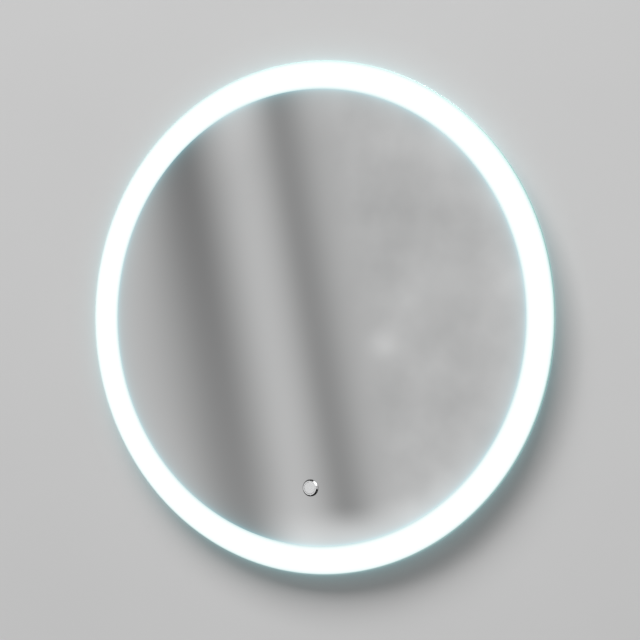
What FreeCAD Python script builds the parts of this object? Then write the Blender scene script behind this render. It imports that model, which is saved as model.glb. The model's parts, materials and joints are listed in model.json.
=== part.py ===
import FreeCAD, Part
import math
import os
import re

import Sketcher
from FreeCAD import Placement, Rotation, Vector

# Round lighted bathroom mirror that hangs on a wall, in millimetres.
# The origin is on the mirror's axis in the plane of the wall. X points right,
# Z up and Y into the wall. Every piece is drawn lying on its back: its own
# z axis is the distance from the wall towards the room, and its y axis is up.

SIZES = {
    # glass, its silver and the light band
    "mirror_radius": 300,
    "total_depth": 36,
    "glass_thickness": 5,
    "glass_arris": 0.8,
    "band_width": 33,
    "silver_thickness": 0.2,
    "silver_setback": 0.4,
    "diffuser_thickness": 1.5,
    "diffuser_margin": 8,
    "diffuser_gap": 0.3,
    # spun steel tray behind the glass
    "tray_gauge": 1,
    "rim_inset": 2,
    "rim_width": 5,
    "slope_wall": 1.35,
    "foot_inset": 30,
    "foot_width": 8,
    "draft_run": 6,
    "draft_wall": 1.25,
    "recess_depth": 8,
    "tray_bend": 1.4,
    "seal_margin": 0.5,
    # ring that carries the light strip and is taped to the silver
    "carrier_gap": 4.5,
    "carrier_gauge": 1.5,
    "carrier_flange": 11.5,
    "tape_thickness": 1,
    "tape_margin": 1,
    "strip_film": 0.1,
    "strip_thickness": 0.3,
    "strip_width": 8,
    "strip_height": 18,
    "chip_count": 96,
    "chip_length": 3.5,
    "chip_width": 2.8,
    "chip_height": 0.8,
    "solder_film": 0.05,
    "connector_width": 12,
    "connector_length": 10.5,
    "connector_gap": 0.1,
    # rivets
    "rivet_radius": 1.6,
    "rivet_clearance": 0.05,
    "rivet_head": 3.4,
    "rivet_head_height": 1.2,
    "rivet_tail": 2.6,
    "carrier_rivets": 8,
    "carrier_rivet_angle": 22.5,
    # hat-shaped hanger plates with keyholes
    "hanger_inset": 40,
    "hanger_gauge": 2,
    "hanger_length": 56,
    "hanger_hat": 40,
    "hanger_width": 64,
    "hanger_wall_gap": 1,
    "hanger_corner": 4,
    "hanger_rivet_inset": 8,
    "keyhole_radius": 5.5,
    "keyhole_slot": 5.5,
    "keyhole_rise": 12,
    # service opening with its cover
    "opening_width": 120,
    "opening_height": 70,
    "opening_corner": 8,
    "cover_lap": 10,
    "cover_corner": 6,
    "cover_gauge": 1,
    # pan-head screws
    "screw_radius": 1.5,
    "screw_clearance": 0.1,
    "screw_length": 4,
    "screw_head": 3,
    "screw_head_height": 2,
    "screw_cross": 0.8,
    "screw_cross_depth": 1,
    # mains entry
    "grommet_x": -42,
    "grommet_bore": 4,
    "grommet_neck": 7,
    "grommet_flange": 9.5,
    "grommet_lip": 2.2,
    "grommet_taper": 0.5,
    "grommet_clearance": 0.05,
    "clamp_x": -18,
    "clamp_width": 8,
    "clamp_gauge": 1.5,
    "clamp_span": 10,
    "clamp_rise": 8,
    "clamp_reach": 13,
    # terminal block
    "terminal_x": 22,
    "terminal_width": 20,
    "terminal_cheek": 1,
    "terminal_height": 13,
    "terminal_pitch": 10,
    "terminal_screw": 1.9,
    "terminal_screw_depth": 3,
    "terminal_screw_sink": 1,
    "terminal_pit_gap": 0.3,
    "terminal_entry": 2,
    "terminal_entry_depth": 4,
    "terminal_entry_height": 5,
    # power supply for the light
    "driver_y": 110,
    "driver_length": 140,
    "driver_width": 44,
    "driver_gap": 2.8,
    "driver_wall": 1.5,
    "driver_corner": 3,
    "driver_ear": 10,
    "driver_ear_width": 14,
    "driver_ear_height": 2,
    "driver_screw_inset": 4,
    "driver_port": 1.3,
    "port_margin": 1,
    "driver_port_inset": 9,
    "driver_port_pitch": 4,
    "driver_port_height": 8,
    "boss_radius": 3,
    "boss_height": 2.5,
    "boss_inset": 15,
    "boss_side": 9,
    "lid_lip": 1.2,
    "lid_lip_height": 1.5,
    "lid_gap": 0.2,
    "board_margin": 2,
    "board_thickness": 1.6,
    "plug_length": 8,
    "plug_width": 12,
    "plug_height": 7,
    "plug_inset": 12,
    "transformer_length": 26,
    "transformer_width": 22,
    "transformer_gap": 0.5,
    "transformer_chamfer": 1.5,
    "capacitor_radius": 4.5,
    "capacitor_gap": 0.7,
    "capacitor_x": 30,
    "capacitor_y": 9,
    # earth stud
    "earth_gap": 10,
    "earth_y": 6,
    "earth_radius": 2,
    "earth_length": 8,
    "earth_clearance": 0.1,
    "earth_nut_flats": 7,
    "earth_nut_height": 3.2,
    "lug_gauge": 0.8,
    "lug_radius": 4,
    "lug_barrel": 1.3,
    "lug_lift": 0.1,
    "lug_reach": 10,
    # leads and their clips
    "lead_radius": 0.9,
    "clip_width": 16,
    "clip_length": 6,
    "clip_height": 4,
    "clip_tunnel": 9.6,
    "clip_tunnel_height": 2.7,
    # push button on the glass
    "button_edge": 101,
    "barrel_radius": 8,
    "barrel_wall": 1,
    "barrel_reach": 18,
    "glass_clearance": 0.2,
    "bezel_radius": 10,
    "bezel_height": 2,
    "bezel_chamfer": 1.7,
    "button_seal": 0.5,
    "button_seal_width": 1.5,
    "washer_radius": 11,
    "washer_thickness": 1,
    "nut_flats": 19,
    "nut_height": 3,
    "thread_clearance": 0.05,
    "cap_clearance": 0.1,
    "cap_height": 4,
    "cap_edge": 0.3,
    "stem_radius": 2.5,
    "groove_depth": 0.5,
    "shelf_depth": 13,
    "shelf_thickness": 1.5,
    "circlip_radius": 4.6,
    "circlip_thickness": 0.7,
    "circlip_play": 0.3,
    "button_travel": 2,
    "spring_radius": 4.2,
    "spring_wire": 0.4,
    "spring_pitch": 1.6,
    "spring_gap": 0.05,
    "switch_width": 14,
    "switch_gap": 3,
    "switch_floor": 2,
    "switch_spigot": 2,
    "switch_bore": 2.9,
    "switch_play": 0.5,
    "blade_width": 2.8,
    "blade_thickness": 0.8,
    "blade_length": 6,
    "blade_spacing": 6,
    "blade_height": 1,
}

# Levels above the wall, towards the room.
GLASS_BACK = "(total_depth - glass_thickness)"
SILVER_BACK = f"({GLASS_BACK} - silver_thickness)"
RIM_TOP = f"({GLASS_BACK} - diffuser_thickness)"
PANEL_FACE = "(recess_depth + tray_gauge)"
COVER_BACK = "(recess_depth - cover_gauge)"
CARRIER_TOP = f"({SILVER_BACK} - tape_thickness)"

# Radii about the mirror's axis.
SILVER_RADIUS = "(mirror_radius - band_width)"
RIM_OUTER = "(mirror_radius - rim_inset)"
RIM_INNER = f"({RIM_OUTER} - rim_width)"
FOOT_RADIUS = "(mirror_radius - foot_inset)"
FOOT_INNER = f"({FOOT_RADIUS} - foot_width)"
PANEL_RADIUS = f"({FOOT_INNER} - draft_run)"
CARRIER_RADIUS = f"({PANEL_RADIUS} - carrier_gap)"
CARRIER_INNER = f"({CARRIER_RADIUS} - carrier_flange)"
RIVET_CIRCLE = f"({CARRIER_RADIUS} - (carrier_flange + carrier_gauge) / 2)"
STRIP_INNER = f"({CARRIER_RADIUS} + strip_film)"
STRIP_OUTER = f"({STRIP_INNER} + strip_thickness)"

# Places across and up the mirror. The hangers stand on a 3-4-5 diagonal.
HANGER_X = f"(({CARRIER_INNER} - hanger_inset) * 4 / 5)"
HANGER_Y = f"(({CARRIER_INNER} - hanger_inset) * 3 / 5)"
BUTTON_Y = "(-(mirror_radius - button_edge))"
HANGER_RIVET_X = "((hanger_width + hanger_hat) / 4)"
HANGER_RIVET_Y = "(hanger_length / 2 - hanger_rivet_inset)"
COVER_WIDTH = "(opening_width + 2 * cover_lap)"
COVER_HEIGHT = "(opening_height + 2 * cover_lap)"
EARTH_X = "(opening_width / 2 + earth_gap)"
TERMINAL_LENGTH = "(3 * terminal_pitch + 2 * terminal_cheek)"
CLAMP_SCREW_Y = "((clamp_reach + clamp_span / 2 + clamp_gauge) / 2)"
DRIVER_HEIGHT = f"({SILVER_BACK} - {PANEL_FACE} - driver_wall - driver_gap)"
DRIVER_SCREW_X = "(driver_length / 2 + driver_ear - driver_screw_inset)"
DRIVER_PORT_Y = "(driver_width / 2 - driver_port_inset)"
PLUG_X = "(driver_length / 2 - plug_inset)"

# Round holes and the parts that pass through them.
BARREL_HOLE = "(barrel_radius + glass_clearance)"
SILVER_HOLE = f"({BARREL_HOLE} + silver_setback)"
RIVET_HOLE = "(rivet_radius + rivet_clearance)"
SCREW_HOLE = "(screw_radius + screw_clearance)"

NEAR = 1e-3
ON_ITS_BACK = Rotation(Vector(1, 0, 0), 90)
FLIPPED = Rotation(Vector(1, 0, 0), 180)
UPRIGHT = Rotation()

os.makedirs("parts", exist_ok=True)
doc = FreeCAD.newDocument("lighted_mirror")
sheet = doc.addObject("Spreadsheet::Sheet", "Sizes")
for row, (alias, size) in enumerate(SIZES.items(), start=1):
    sheet.set(f"A{row}", alias)
    sheet.set(f"B{row}", str(size))
    sheet.setAlias(f"B{row}", alias)
doc.recompute()

sub_parts = []


def on_sheet(formula):
    """The formula with each size written as a cell of the sheet."""
    return re.sub(r"[a-z_]+", lambda word: f"Sizes.{word[0]}" if word[0] in SIZES else word[0], formula)


def bind(item, setting, formula):
    """Tie one setting of an object to the sheet."""
    item.setExpression(setting, on_sheet(formula))


def now(formula):
    """The present value of a formula."""
    return float(sheet.evalExpression(on_sheet(formula)))


def place(item, x, y, z):
    """Lay an object on its back at a height above the wall."""
    item.Placement = Placement(Vector(now(x), -now(z), now(y)), ON_ITS_BACK)
    bind(item, "Placement.Base.x", x)
    bind(item, "Placement.Base.y", f"-({z})")
    bind(item, "Placement.Base.z", y)


def new_body(label, x="0", y="0", z="0", kept=True):
    """A body for one sub-part, or for the pattern of a fastener when it isn't kept."""
    body = doc.addObject("PartDesign::Body", label)
    body.Label = label
    if kept:
        place(body, x, y, z)
        sub_parts.append(body)
    return body


def sketch_on(body, plane="XY_Plane", offset="0"):
    """An empty sketch on one of the body's own planes."""
    planes = {feature.Role: feature for feature in body.Origin.OriginFeatures}
    sketch = body.newObject("Sketcher::SketchObject", f"{body.Name}_sketch")
    sketch.AttachmentSupport = (planes[plane], [""])
    sketch.MapMode = "FlatFace"
    bind(sketch, ".AttachmentOffset.Base.z", offset)
    return sketch


def fix(sketch, kind, corner, point, formula):
    """One bound distance from the sketch's origin."""
    number = sketch.addConstraint(Sketcher.Constraint(kind, -1, 1, corner, point, now(formula)))
    bind(sketch, f"Constraints[{number}]", formula)


def outline(sketch, corners):
    """A closed outline through corners given as pairs of formulas."""
    first = sketch.GeometryCount
    spots = [Vector(now(across), now(up), 0) for across, up in corners]
    for start, end in zip(spots, spots[1:] + spots[:1]):
        sketch.addGeometry(Part.LineSegment(start, end))
    for side in range(len(corners)):
        following = first + (side + 1) % len(corners)
        sketch.addConstraint(Sketcher.Constraint("Coincident", first + side, 2, following, 1))
    for side, (across, up) in enumerate(corners):
        fix(sketch, "DistanceX", first + side, 1, across)
        fix(sketch, "DistanceY", first + side, 1, up)
    return sketch


def rectangle(sketch, width, height, x="0", y="0"):
    """A rectangle about a centre."""
    left, right = f"{x} - ({width}) / 2", f"{x} + ({width}) / 2"
    low, high = f"{y} - ({height}) / 2", f"{y} + ({height}) / 2"
    return outline(sketch, [(left, low), (right, low), (right, high), (left, high)])


def circle(sketch, radius, x="0", y="0"):
    """A circle about a centre."""
    middle = Vector(now(x), now(y), 0)
    number = sketch.addGeometry(Part.Circle(middle, Vector(0, 0, 1), now(radius)))
    fix(sketch, "DistanceX", number, 3, x)
    fix(sketch, "DistanceY", number, 3, y)
    ring = sketch.addConstraint(Sketcher.Constraint("Radius", number, now(radius)))
    bind(sketch, f"Constraints[{ring}]", radius)
    return sketch


def hexagon(sketch, flats):
    """A hexagon about the origin, by its width across flats."""
    turns = [(math.cos(math.radians(60 * side)), math.sin(math.radians(60 * side))) for side in range(6)]
    reach = f"({flats}) / sqrt(3)"
    return outline(sketch, [(f"{reach} * ({across:.9f})", f"{reach} * ({up:.9f})") for across, up in turns])


def volume_of(body):
    """The body's volume as it stands."""
    doc.recompute()
    return body.Shape.Volume


def pad(body, sketch, length, symmetric=False):
    """Material grown from a sketch."""
    feature = body.newObject("PartDesign::Pad", f"{body.Name}_pad")
    feature.Profile = sketch
    feature.SideType = "Symmetric" if symmetric else "One side"
    bind(feature, "Length", length)
    doc.recompute()
    return feature


def cut(body, sketch, depth, symmetric=False):
    """Material taken away from a sketch downwards, which has to remove something."""
    before = volume_of(body)
    feature = body.newObject("PartDesign::Pocket", f"{body.Name}_cut")
    feature.Profile = sketch
    feature.SideType = "Symmetric" if symmetric else "One side"
    bind(feature, "Length", depth)
    if volume_of(body) > before - NEAR:
        raise ValueError(f"a cut in {body.Label} removes nothing")
    return feature


def turn(body, profile):
    """A round piece turned about the body's own axis from pairs of radius and height."""
    sketch = outline(sketch_on(body, "XZ_Plane"), profile)
    feature = body.newObject("PartDesign::Revolution", f"{body.Name}_turn")
    feature.Profile = sketch
    feature.ReferenceAxis = (sketch, ["V_Axis"])
    feature.Angle = 360
    doc.recompute()
    return feature


def around(body, feature, sketch, count):
    """Equal copies of a feature about the body's axis."""
    pattern = body.newObject("PartDesign::PolarPattern", f"{body.Name}_around")
    pattern.Originals = [feature]
    pattern.Axis = (sketch, ["N_Axis"])
    pattern.Angle = 360
    bind(pattern, "Occurrences", count)
    body.Tip = pattern
    doc.recompute()
    return pattern


def dress(body, kind, size, wanted):
    """A fillet or chamfer on the edges of the body that are wanted."""
    base = body.Tip
    names = [f"Edge{number}" for number, edge in enumerate(base.Shape.Edges, start=1) if wanted(edge)]
    feature = body.newObject(f"PartDesign::{kind}", f"{body.Name}_{kind.lower()}")
    feature.Base = (base, names)
    bind(feature, "Radius" if kind == "Fillet" else "Size", size)
    body.Tip = feature
    doc.recompute()
    return feature


def upright(edge):
    """Whether an edge runs straight along the depth of the piece."""
    return edge.Curve.TypeId == "Part::GeomLine" and abs(edge.tangentAt(edge.FirstParameter).z) > 0.999


def round_edge(radius, height):
    """A test for the full circle of one radius at one height."""
    def wanted(edge):
        if edge.Curve.TypeId != "Part::GeomCircle":
            return False
        near = abs(edge.Curve.Radius - now(radius)) < NEAR
        return near and abs(edge.Curve.Center.z - now(height)) < NEAR
    return wanted


def tidy_plate(body, corner):
    """Round the upright corners of a plate."""
    return dress(body, "Fillet", corner, upright)


def copies(label, pattern, spots):
    """Separate equal pieces in one sub-part, at spots of x, y, z and attitude."""
    links = []
    for x, y, z, attitude in spots:
        link = doc.addObject("App::Link", f"{label}_copy")
        link.LinkedObject = pattern
        link.Placement = Placement(Vector(now(x), now(y), now(z)), attitude)
        bind(link, "Placement.Base.x", x)
        bind(link, "Placement.Base.y", y)
        bind(link, "Placement.Base.z", z)
        links.append(link)
    group = doc.addObject("Part::Compound", label)
    group.Label = label
    group.Links = links
    group.Placement = Placement(Vector(), ON_ITS_BACK)
    sub_parts.append(group)
    doc.recompute()
    return group


# ---------------------------------------------------------------- fasteners

def make_screw():
    """The pattern of a pan-head screw: its head stands on z = 0."""
    body = new_body("screw_pattern", kept=False)
    turn(body, [
        ("0", "-screw_length"), ("screw_radius", "-screw_length"), ("screw_radius", "0"),
        ("screw_head", "0"), ("screw_head", "screw_head_height"), ("0", "screw_head_height"),
    ])
    dress(body, "Fillet", "screw_head_height / 2", round_edge("screw_head", "screw_head_height"))
    for width, height in (("screw_cross", "screw_head * 1.1"), ("screw_head * 1.1", "screw_cross")):
        slot = rectangle(sketch_on(body, offset="screw_head_height"), width, height)
        cut(body, slot, "screw_cross_depth")
    return body


def make_rivet(name, grip):
    """The pattern of a pop rivet through a grip: its head stands on z = 0."""
    body = new_body(name, kept=False)
    low = f"-({grip})"
    turn(body, [
        ("0", f"{low} - rivet_head_height"), ("rivet_tail", f"{low} - rivet_head_height"),
        ("rivet_tail", low), ("rivet_radius", low), ("rivet_radius", "0"),
        ("rivet_head", "0"), ("rivet_head", "rivet_head_height"), ("0", "rivet_head_height"),
    ])
    dress(body, "Fillet", "rivet_head_height * 0.8", round_edge("rivet_head", "rivet_head_height"))
    return body


# ---------------------------------------------------------------- glass and light band

def make_glass():
    """Round float glass with ground edges and a hole for the button."""
    body = new_body("mirror_glass", z=GLASS_BACK)
    pad(body, circle(sketch_on(body), "mirror_radius"), "glass_thickness")
    edge = round_edge("mirror_radius", "glass_thickness")
    back_edge = round_edge("mirror_radius", "0")
    dress(body, "Chamfer", "glass_arris", lambda item: edge(item) or back_edge(item))
    hole = circle(sketch_on(body, offset="glass_thickness"), BARREL_HOLE, y=BUTTON_Y)
    cut(body, hole, "glass_thickness")


def make_silver():
    """The silver layer, which leaves the light band clear."""
    body = new_body("silver_coating", z=SILVER_BACK)
    pad(body, circle(sketch_on(body), SILVER_RADIUS), "silver_thickness")
    hole = circle(sketch_on(body, offset="silver_thickness"), SILVER_HOLE, y=BUTTON_Y)
    cut(body, hole, "silver_thickness")


def flat_ring(label, inner, outer, low, high):
    """A flat ring about the mirror's axis."""
    body = new_body(label, z=low)
    rise = f"({high}) - ({low})"
    turn(body, [(inner, "0"), (outer, "0"), (outer, rise), (inner, rise)])
    return body


def make_band():
    """The opal ring behind the clear band, and the foam seal outside it."""
    flat_ring("band_diffuser", f"{SILVER_RADIUS} + diffuser_gap",
              "mirror_radius - diffuser_margin", RIM_TOP, GLASS_BACK)
    flat_ring("rim_seal", f"{RIM_INNER} + seal_margin",
              f"{RIM_OUTER} - seal_margin", RIM_TOP, GLASS_BACK)


# ---------------------------------------------------------------- rear tray

def make_tray():
    """The spun tray: rim, slope, foot ring, draft and the panel set in from the wall."""
    body = new_body("rear_tray")
    slope = f"(({RIM_INNER} + slope_wall - {FOOT_RADIUS}) / {RIM_TOP})"
    draft = "(draft_run / recess_depth)"
    rim_low = f"({RIM_TOP} - tray_gauge)"
    turn(body, [
        ("0", "recess_depth"),
        (PANEL_RADIUS, "recess_depth"),
        (FOOT_INNER, "0"),
        (FOOT_RADIUS, "0"),
        (f"{FOOT_RADIUS} + {slope} * {rim_low}", rim_low),
        (RIM_OUTER, rim_low),
        (RIM_OUTER, RIM_TOP),
        (RIM_INNER, RIM_TOP),
        (f"{FOOT_RADIUS} - slope_wall + {slope} * tray_gauge", "tray_gauge"),
        (f"{FOOT_INNER} + draft_wall - {draft} * tray_gauge", "tray_gauge"),
        (f"{FOOT_INNER} + draft_wall - {draft} * {PANEL_FACE}", PANEL_FACE),
        ("0", PANEL_FACE),
    ])
    bends = [
        round_edge(PANEL_RADIUS, "recess_depth"), round_edge(FOOT_INNER, "0"),
        round_edge(FOOT_RADIUS, "0"), round_edge(f"{FOOT_RADIUS} + {slope} * {rim_low}", rim_low),
        round_edge(f"{FOOT_INNER} + draft_wall - {draft} * {PANEL_FACE}", PANEL_FACE),
    ]
    dress(body, "Fillet", "tray_bend", lambda edge: any(bend(edge) for bend in bends))
    cut_tray_holes(body)


def cut_tray_holes(body):
    """The service opening and the holes for screws and rivets."""
    opening = rectangle(sketch_on(body, offset=PANEL_FACE), "opening_width", "opening_height")
    cut(body, opening, "tray_gauge")
    corners = ("opening_width / 2", "opening_height / 2")
    dress(body, "Fillet", "opening_corner", lambda edge: upright(edge) and near_corner(edge, corners))
    holes = sketch_on(body, offset=PANEL_FACE)
    for x, y in cover_screw_spots() + driver_screw_spots():
        circle(holes, SCREW_HOLE, x, y)
    for x, y in hanger_rivet_spots():
        circle(holes, RIVET_HOLE, x, y)
    cut(body, holes, "tray_gauge")
    ring_hole = sketch_on(body, offset=PANEL_FACE)
    circle(ring_hole, RIVET_HOLE, *carrier_rivet_spot("0"))
    first = cut(body, ring_hole, "tray_gauge")
    around(body, first, ring_hole, "carrier_rivets")


def near_corner(edge, corners):
    """Whether an edge stands on one corner of a rectangle about the origin."""
    spot = edge.Vertexes[0].Point
    return abs(abs(spot.x) - now(corners[0])) < NEAR and abs(abs(spot.y) - now(corners[1])) < NEAR


def cover_screw_spots():
    """Centres of the service cover's four screws."""
    x, y = "((opening_width + cover_lap) / 2)", "((opening_height + cover_lap) / 2)"
    return [(f"{side}{x}", f"{level}{y}") for side in ("", "-") for level in ("", "-")]


def driver_screw_spots():
    """Centres of the two screws of the power supply."""
    return [(DRIVER_SCREW_X, "driver_y"), (f"-{DRIVER_SCREW_X}", "driver_y")]


def hanger_rivet_spots():
    """Centres of the eight rivets of the hanger plates."""
    return [(f"{side}{HANGER_X} {across} {HANGER_RIVET_X}", f"{HANGER_Y} {along} {HANGER_RIVET_Y}")
            for side in ("", "-") for across in ("+", "-") for along in ("+", "-")]


def carrier_rivet_spot(number):
    """Centre of one rivet of the carrier ring, numbered around it."""
    angle = f"(carrier_rivet_angle + 360 * {number} / carrier_rivets)"
    return f"{RIVET_CIRCLE} * cos({angle})", f"{RIVET_CIRCLE} * sin({angle})"


# ---------------------------------------------------------------- light ring

def make_carrier():
    """The channel ring that stands on the panel and holds the glass by its tape."""
    body = new_body("led_carrier_ring", z=PANEL_FACE)
    rise = f"({CARRIER_TOP} - {PANEL_FACE})"
    wall_inner = f"{CARRIER_RADIUS} - carrier_gauge"
    turn(body, [
        (CARRIER_INNER, "0"), (CARRIER_RADIUS, "0"), (CARRIER_RADIUS, rise),
        (CARRIER_INNER, rise), (CARRIER_INNER, f"{rise} - carrier_gauge"),
        (wall_inner, f"{rise} - carrier_gauge"), (wall_inner, "carrier_gauge"),
        (CARRIER_INNER, "carrier_gauge"),
    ])
    window = sketch_on(body, "YZ_Plane", f"-{CARRIER_RADIUS} + 2 * carrier_gauge")
    rectangle(window, "connector_width + 2 * connector_gap", "strip_width + 2 * connector_gap",
              y=f"strip_height - {PANEL_FACE}")
    cut(body, window, "3 * carrier_gauge")
    rivet_hole = sketch_on(body, offset="carrier_gauge")
    circle(rivet_hole, RIVET_HOLE, *carrier_rivet_spot("0"))
    first = cut(body, rivet_hole, "carrier_gauge")
    around(body, first, rivet_hole, "carrier_rivets")


def make_light():
    """The tape, the light strip with its chips, and the plug that feeds it."""
    flat_ring("carrier_tape", f"{CARRIER_INNER} + tape_margin", f"{CARRIER_RADIUS} - tape_margin",
              CARRIER_TOP, SILVER_BACK)
    low = "strip_height - strip_width / 2"
    flat_ring("led_strip", STRIP_INNER, STRIP_OUTER, low, "strip_height + strip_width / 2")
    chips = new_body("led_chips", z="strip_height - chip_width / 2")
    chips.AllowCompound = True
    first = f"{STRIP_OUTER} + solder_film"
    sketch = rectangle(sketch_on(chips), "chip_height", "chip_length", x=f"{first} + chip_height / 2")
    around(chips, pad(chips, sketch, "chip_width"), sketch, "chip_count")
    plug = new_body("led_connector", x=f"-{CARRIER_RADIUS} + connector_gap", z=low)
    pad(plug, rectangle(sketch_on(plug), "connector_length", "connector_width",
                        x="connector_length / 2"), "strip_width")


# ---------------------------------------------------------------- hangers

def make_hangers():
    """Two hat-shaped plates, open above and below, with a keyhole in each."""
    floor = "-(recess_depth - hanger_wall_gap)"
    inside = "hanger_hat / 2 - hanger_gauge"
    half = [
        ("hanger_width / 2", "0"), ("hanger_width / 2", "-hanger_gauge"),
        ("hanger_hat / 2", "-hanger_gauge"), ("hanger_hat / 2", floor),
    ]
    inner = [(inside, "0"), (inside, f"{floor} + hanger_gauge")]
    mirrored = [(f"-({x})", z) for x, z in half[::-1]]
    inner_mirrored = [(f"-({x})", z) for x, z in inner]
    for label, side in (("hanger_plate_left", "-"), ("hanger_plate_right", "")):
        body = new_body(label, x=f"{side}{HANGER_X}", y=HANGER_Y, z="recess_depth")
        profile = outline(sketch_on(body, "XZ_Plane"), half + mirrored + inner_mirrored + inner[::-1])
        pad(body, profile, "hanger_length", symmetric=True)
        tidy_flanges(body)
        pad_face = f"{floor} + hanger_gauge"
        cut(body, circle(sketch_on(body, offset=pad_face), "keyhole_radius"), "hanger_gauge")
        slot = rectangle(sketch_on(body, offset=pad_face), "keyhole_slot", "keyhole_rise", y="keyhole_rise / 2")
        cut(body, slot, "hanger_gauge")
        top = circle(sketch_on(body, offset=pad_face), "keyhole_slot / 2", y="keyhole_rise")
        cut(body, top, "hanger_gauge")
        holes = sketch_on(body)
        for across in ("", "-"):
            for along in ("", "-"):
                circle(holes, RIVET_HOLE, f"{across}{HANGER_RIVET_X}", f"{along}{HANGER_RIVET_Y}")
        cut(body, holes, "hanger_gauge")


def tidy_flanges(body):
    """Round the four outer corners of a hanger's flanges."""
    def wanted(edge):
        return upright(edge) and abs(abs(edge.Vertexes[0].X) - now("hanger_width / 2")) < NEAR
    dress(body, "Fillet", "hanger_corner", wanted)


# ---------------------------------------------------------------- service cover and mains entry

def make_cover():
    """The cover plate with the hole for the grommet and for its screws."""
    body = new_body("service_cover", z=COVER_BACK)
    pad(body, rectangle(sketch_on(body), COVER_WIDTH, COVER_HEIGHT), "cover_gauge")
    tidy_plate(body, "cover_corner")
    holes = sketch_on(body, offset="cover_gauge")
    circle(holes, "grommet_neck", "grommet_x")
    for x, y in cover_screw_spots() + clamp_screw_spots():
        circle(holes, SCREW_HOLE, x, y)
    cut(body, holes, "cover_gauge")


def clamp_screw_spots():
    """Centres of the cable clamp's two screws."""
    return [("clamp_x", CLAMP_SCREW_Y), ("clamp_x", f"-{CLAMP_SCREW_Y}")]


def make_entry():
    """The rubber grommet and the clamp for the mains cable."""
    grommet = new_body("cable_grommet", x="grommet_x", z="recess_depth")
    neck = "grommet_neck - grommet_clearance"
    low = "-cover_gauge"
    turn(grommet, [
        ("grommet_bore", f"{low} - grommet_lip"), ("grommet_flange - grommet_taper", f"{low} - grommet_lip"),
        ("grommet_flange", low), (neck, low), (neck, "0"), ("grommet_flange", "0"),
        ("grommet_flange - grommet_taper", "grommet_lip"), ("grommet_bore", "grommet_lip"),
    ])
    clamp = new_body("cable_clamp", x="clamp_x", z="recess_depth")
    right = [
        ("clamp_reach", "0"), ("clamp_reach", "clamp_gauge"),
        ("clamp_span / 2 + clamp_gauge", "clamp_gauge"), ("clamp_span / 2", "clamp_rise"),
    ]
    left = [(f"-({y})", z) for y, z in right[::-1]]
    inner = [("-clamp_span / 2", "0"), ("-clamp_span / 2 + clamp_gauge", "clamp_rise - clamp_gauge"),
             ("clamp_span / 2 - clamp_gauge", "clamp_rise - clamp_gauge"), ("clamp_span / 2", "0")]
    pad(clamp, outline(sketch_on(clamp, "YZ_Plane"), right + left + inner), "clamp_width", symmetric=True)
    holes = sketch_on(clamp, offset="clamp_gauge")
    for side in ("", "-"):
        circle(holes, SCREW_HOLE, y=f"{side}{CLAMP_SCREW_Y}")
    cut(clamp, holes, "clamp_gauge")


def make_terminals():
    """The three-way terminal block and its screws."""
    block = new_body("terminal_block", x="terminal_x", z="recess_depth")
    pad(block, rectangle(sketch_on(block), "terminal_width", TERMINAL_LENGTH), "terminal_height")
    pits = sketch_on(block, offset="terminal_height")
    spots = [(f"{side}terminal_width / 4", f"{way} * terminal_pitch") for side in ("", "-") for way in (-1, 0, 1)]
    for x, y in spots:
        circle(pits, "terminal_screw + terminal_pit_gap", x, y)
    cut(block, pits, "terminal_screw_depth + terminal_screw_sink")
    entries = sketch_on(block, "YZ_Plane", "-terminal_width / 2 + terminal_entry_depth")
    for way in (-1, 0, 1):
        circle(entries, "terminal_entry", f"{way} * terminal_pitch", "terminal_entry_height")
    cut(block, entries, "terminal_entry_depth")
    screw = new_body("terminal_screw_pattern", kept=False)
    pad(screw, circle(sketch_on(screw), "terminal_screw"), "terminal_screw_depth")
    slot = rectangle(sketch_on(screw, offset="terminal_screw_depth"), "3 * terminal_screw", "terminal_screw / 3")
    cut(screw, slot, "terminal_screw_depth / 3")
    level = "recess_depth + terminal_height - terminal_screw_depth - terminal_screw_sink"
    copies("terminal_screws", screw, [(f"terminal_x + {x}", y, level, UPRIGHT) for x, y in spots])


# ---------------------------------------------------------------- power supply

def make_driver_case():
    """The base with its ears, wire ports and bosses, and the lid."""
    base = new_body("driver_base", y="driver_y", z=PANEL_FACE)
    pad(base, rectangle(sketch_on(base), "driver_length", "driver_width"), DRIVER_HEIGHT)
    tidy_plate(base, "driver_corner")
    inside = ("driver_length - 2 * driver_wall", "driver_width - 2 * driver_wall")
    cut(base, rectangle(sketch_on(base, offset=DRIVER_HEIGHT), *inside), f"{DRIVER_HEIGHT} - driver_wall")
    for side in ("", "-"):
        ear = rectangle(sketch_on(base), "driver_ear", "driver_ear_width",
                        x=f"{side}(driver_length + driver_ear) / 2")
        pad(base, ear, "driver_ear_height")
    bosses = sketch_on(base, offset="driver_wall")
    for across in ("", "-"):
        for along in ("", "-"):
            circle(bosses, "boss_radius", f"{across}(driver_length / 2 - boss_inset)",
                   f"{along}(driver_width / 2 - boss_side)")
    pad(base, bosses, "boss_height")
    screws = sketch_on(base, offset="driver_ear_height")
    for side in ("", "-"):
        circle(screws, SCREW_HOLE, f"{side}{DRIVER_SCREW_X}")
    cut(base, screws, "driver_ear_height")
    cut_ports(base, "driver_length / 2 + port_margin", ("",))
    cut_ports(base, "-driver_length / 2 + driver_wall + port_margin", ("", "-"))
    lid = new_body("driver_lid", y="driver_y", z=f"{PANEL_FACE} + {DRIVER_HEIGHT}")
    pad(lid, rectangle(sketch_on(lid), "driver_length", "driver_width"), "driver_wall")
    tidy_plate(lid, "driver_corner")
    lip = sketch_on(lid, offset="-lid_lip_height")
    for step in ("lid_gap", "(lid_gap + lid_lip)"):
        rectangle(lip, f"{inside[0]} - 2 * {step}", f"{inside[1]} - 2 * {step}")
    pad(lid, lip, "lid_lip_height")


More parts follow.
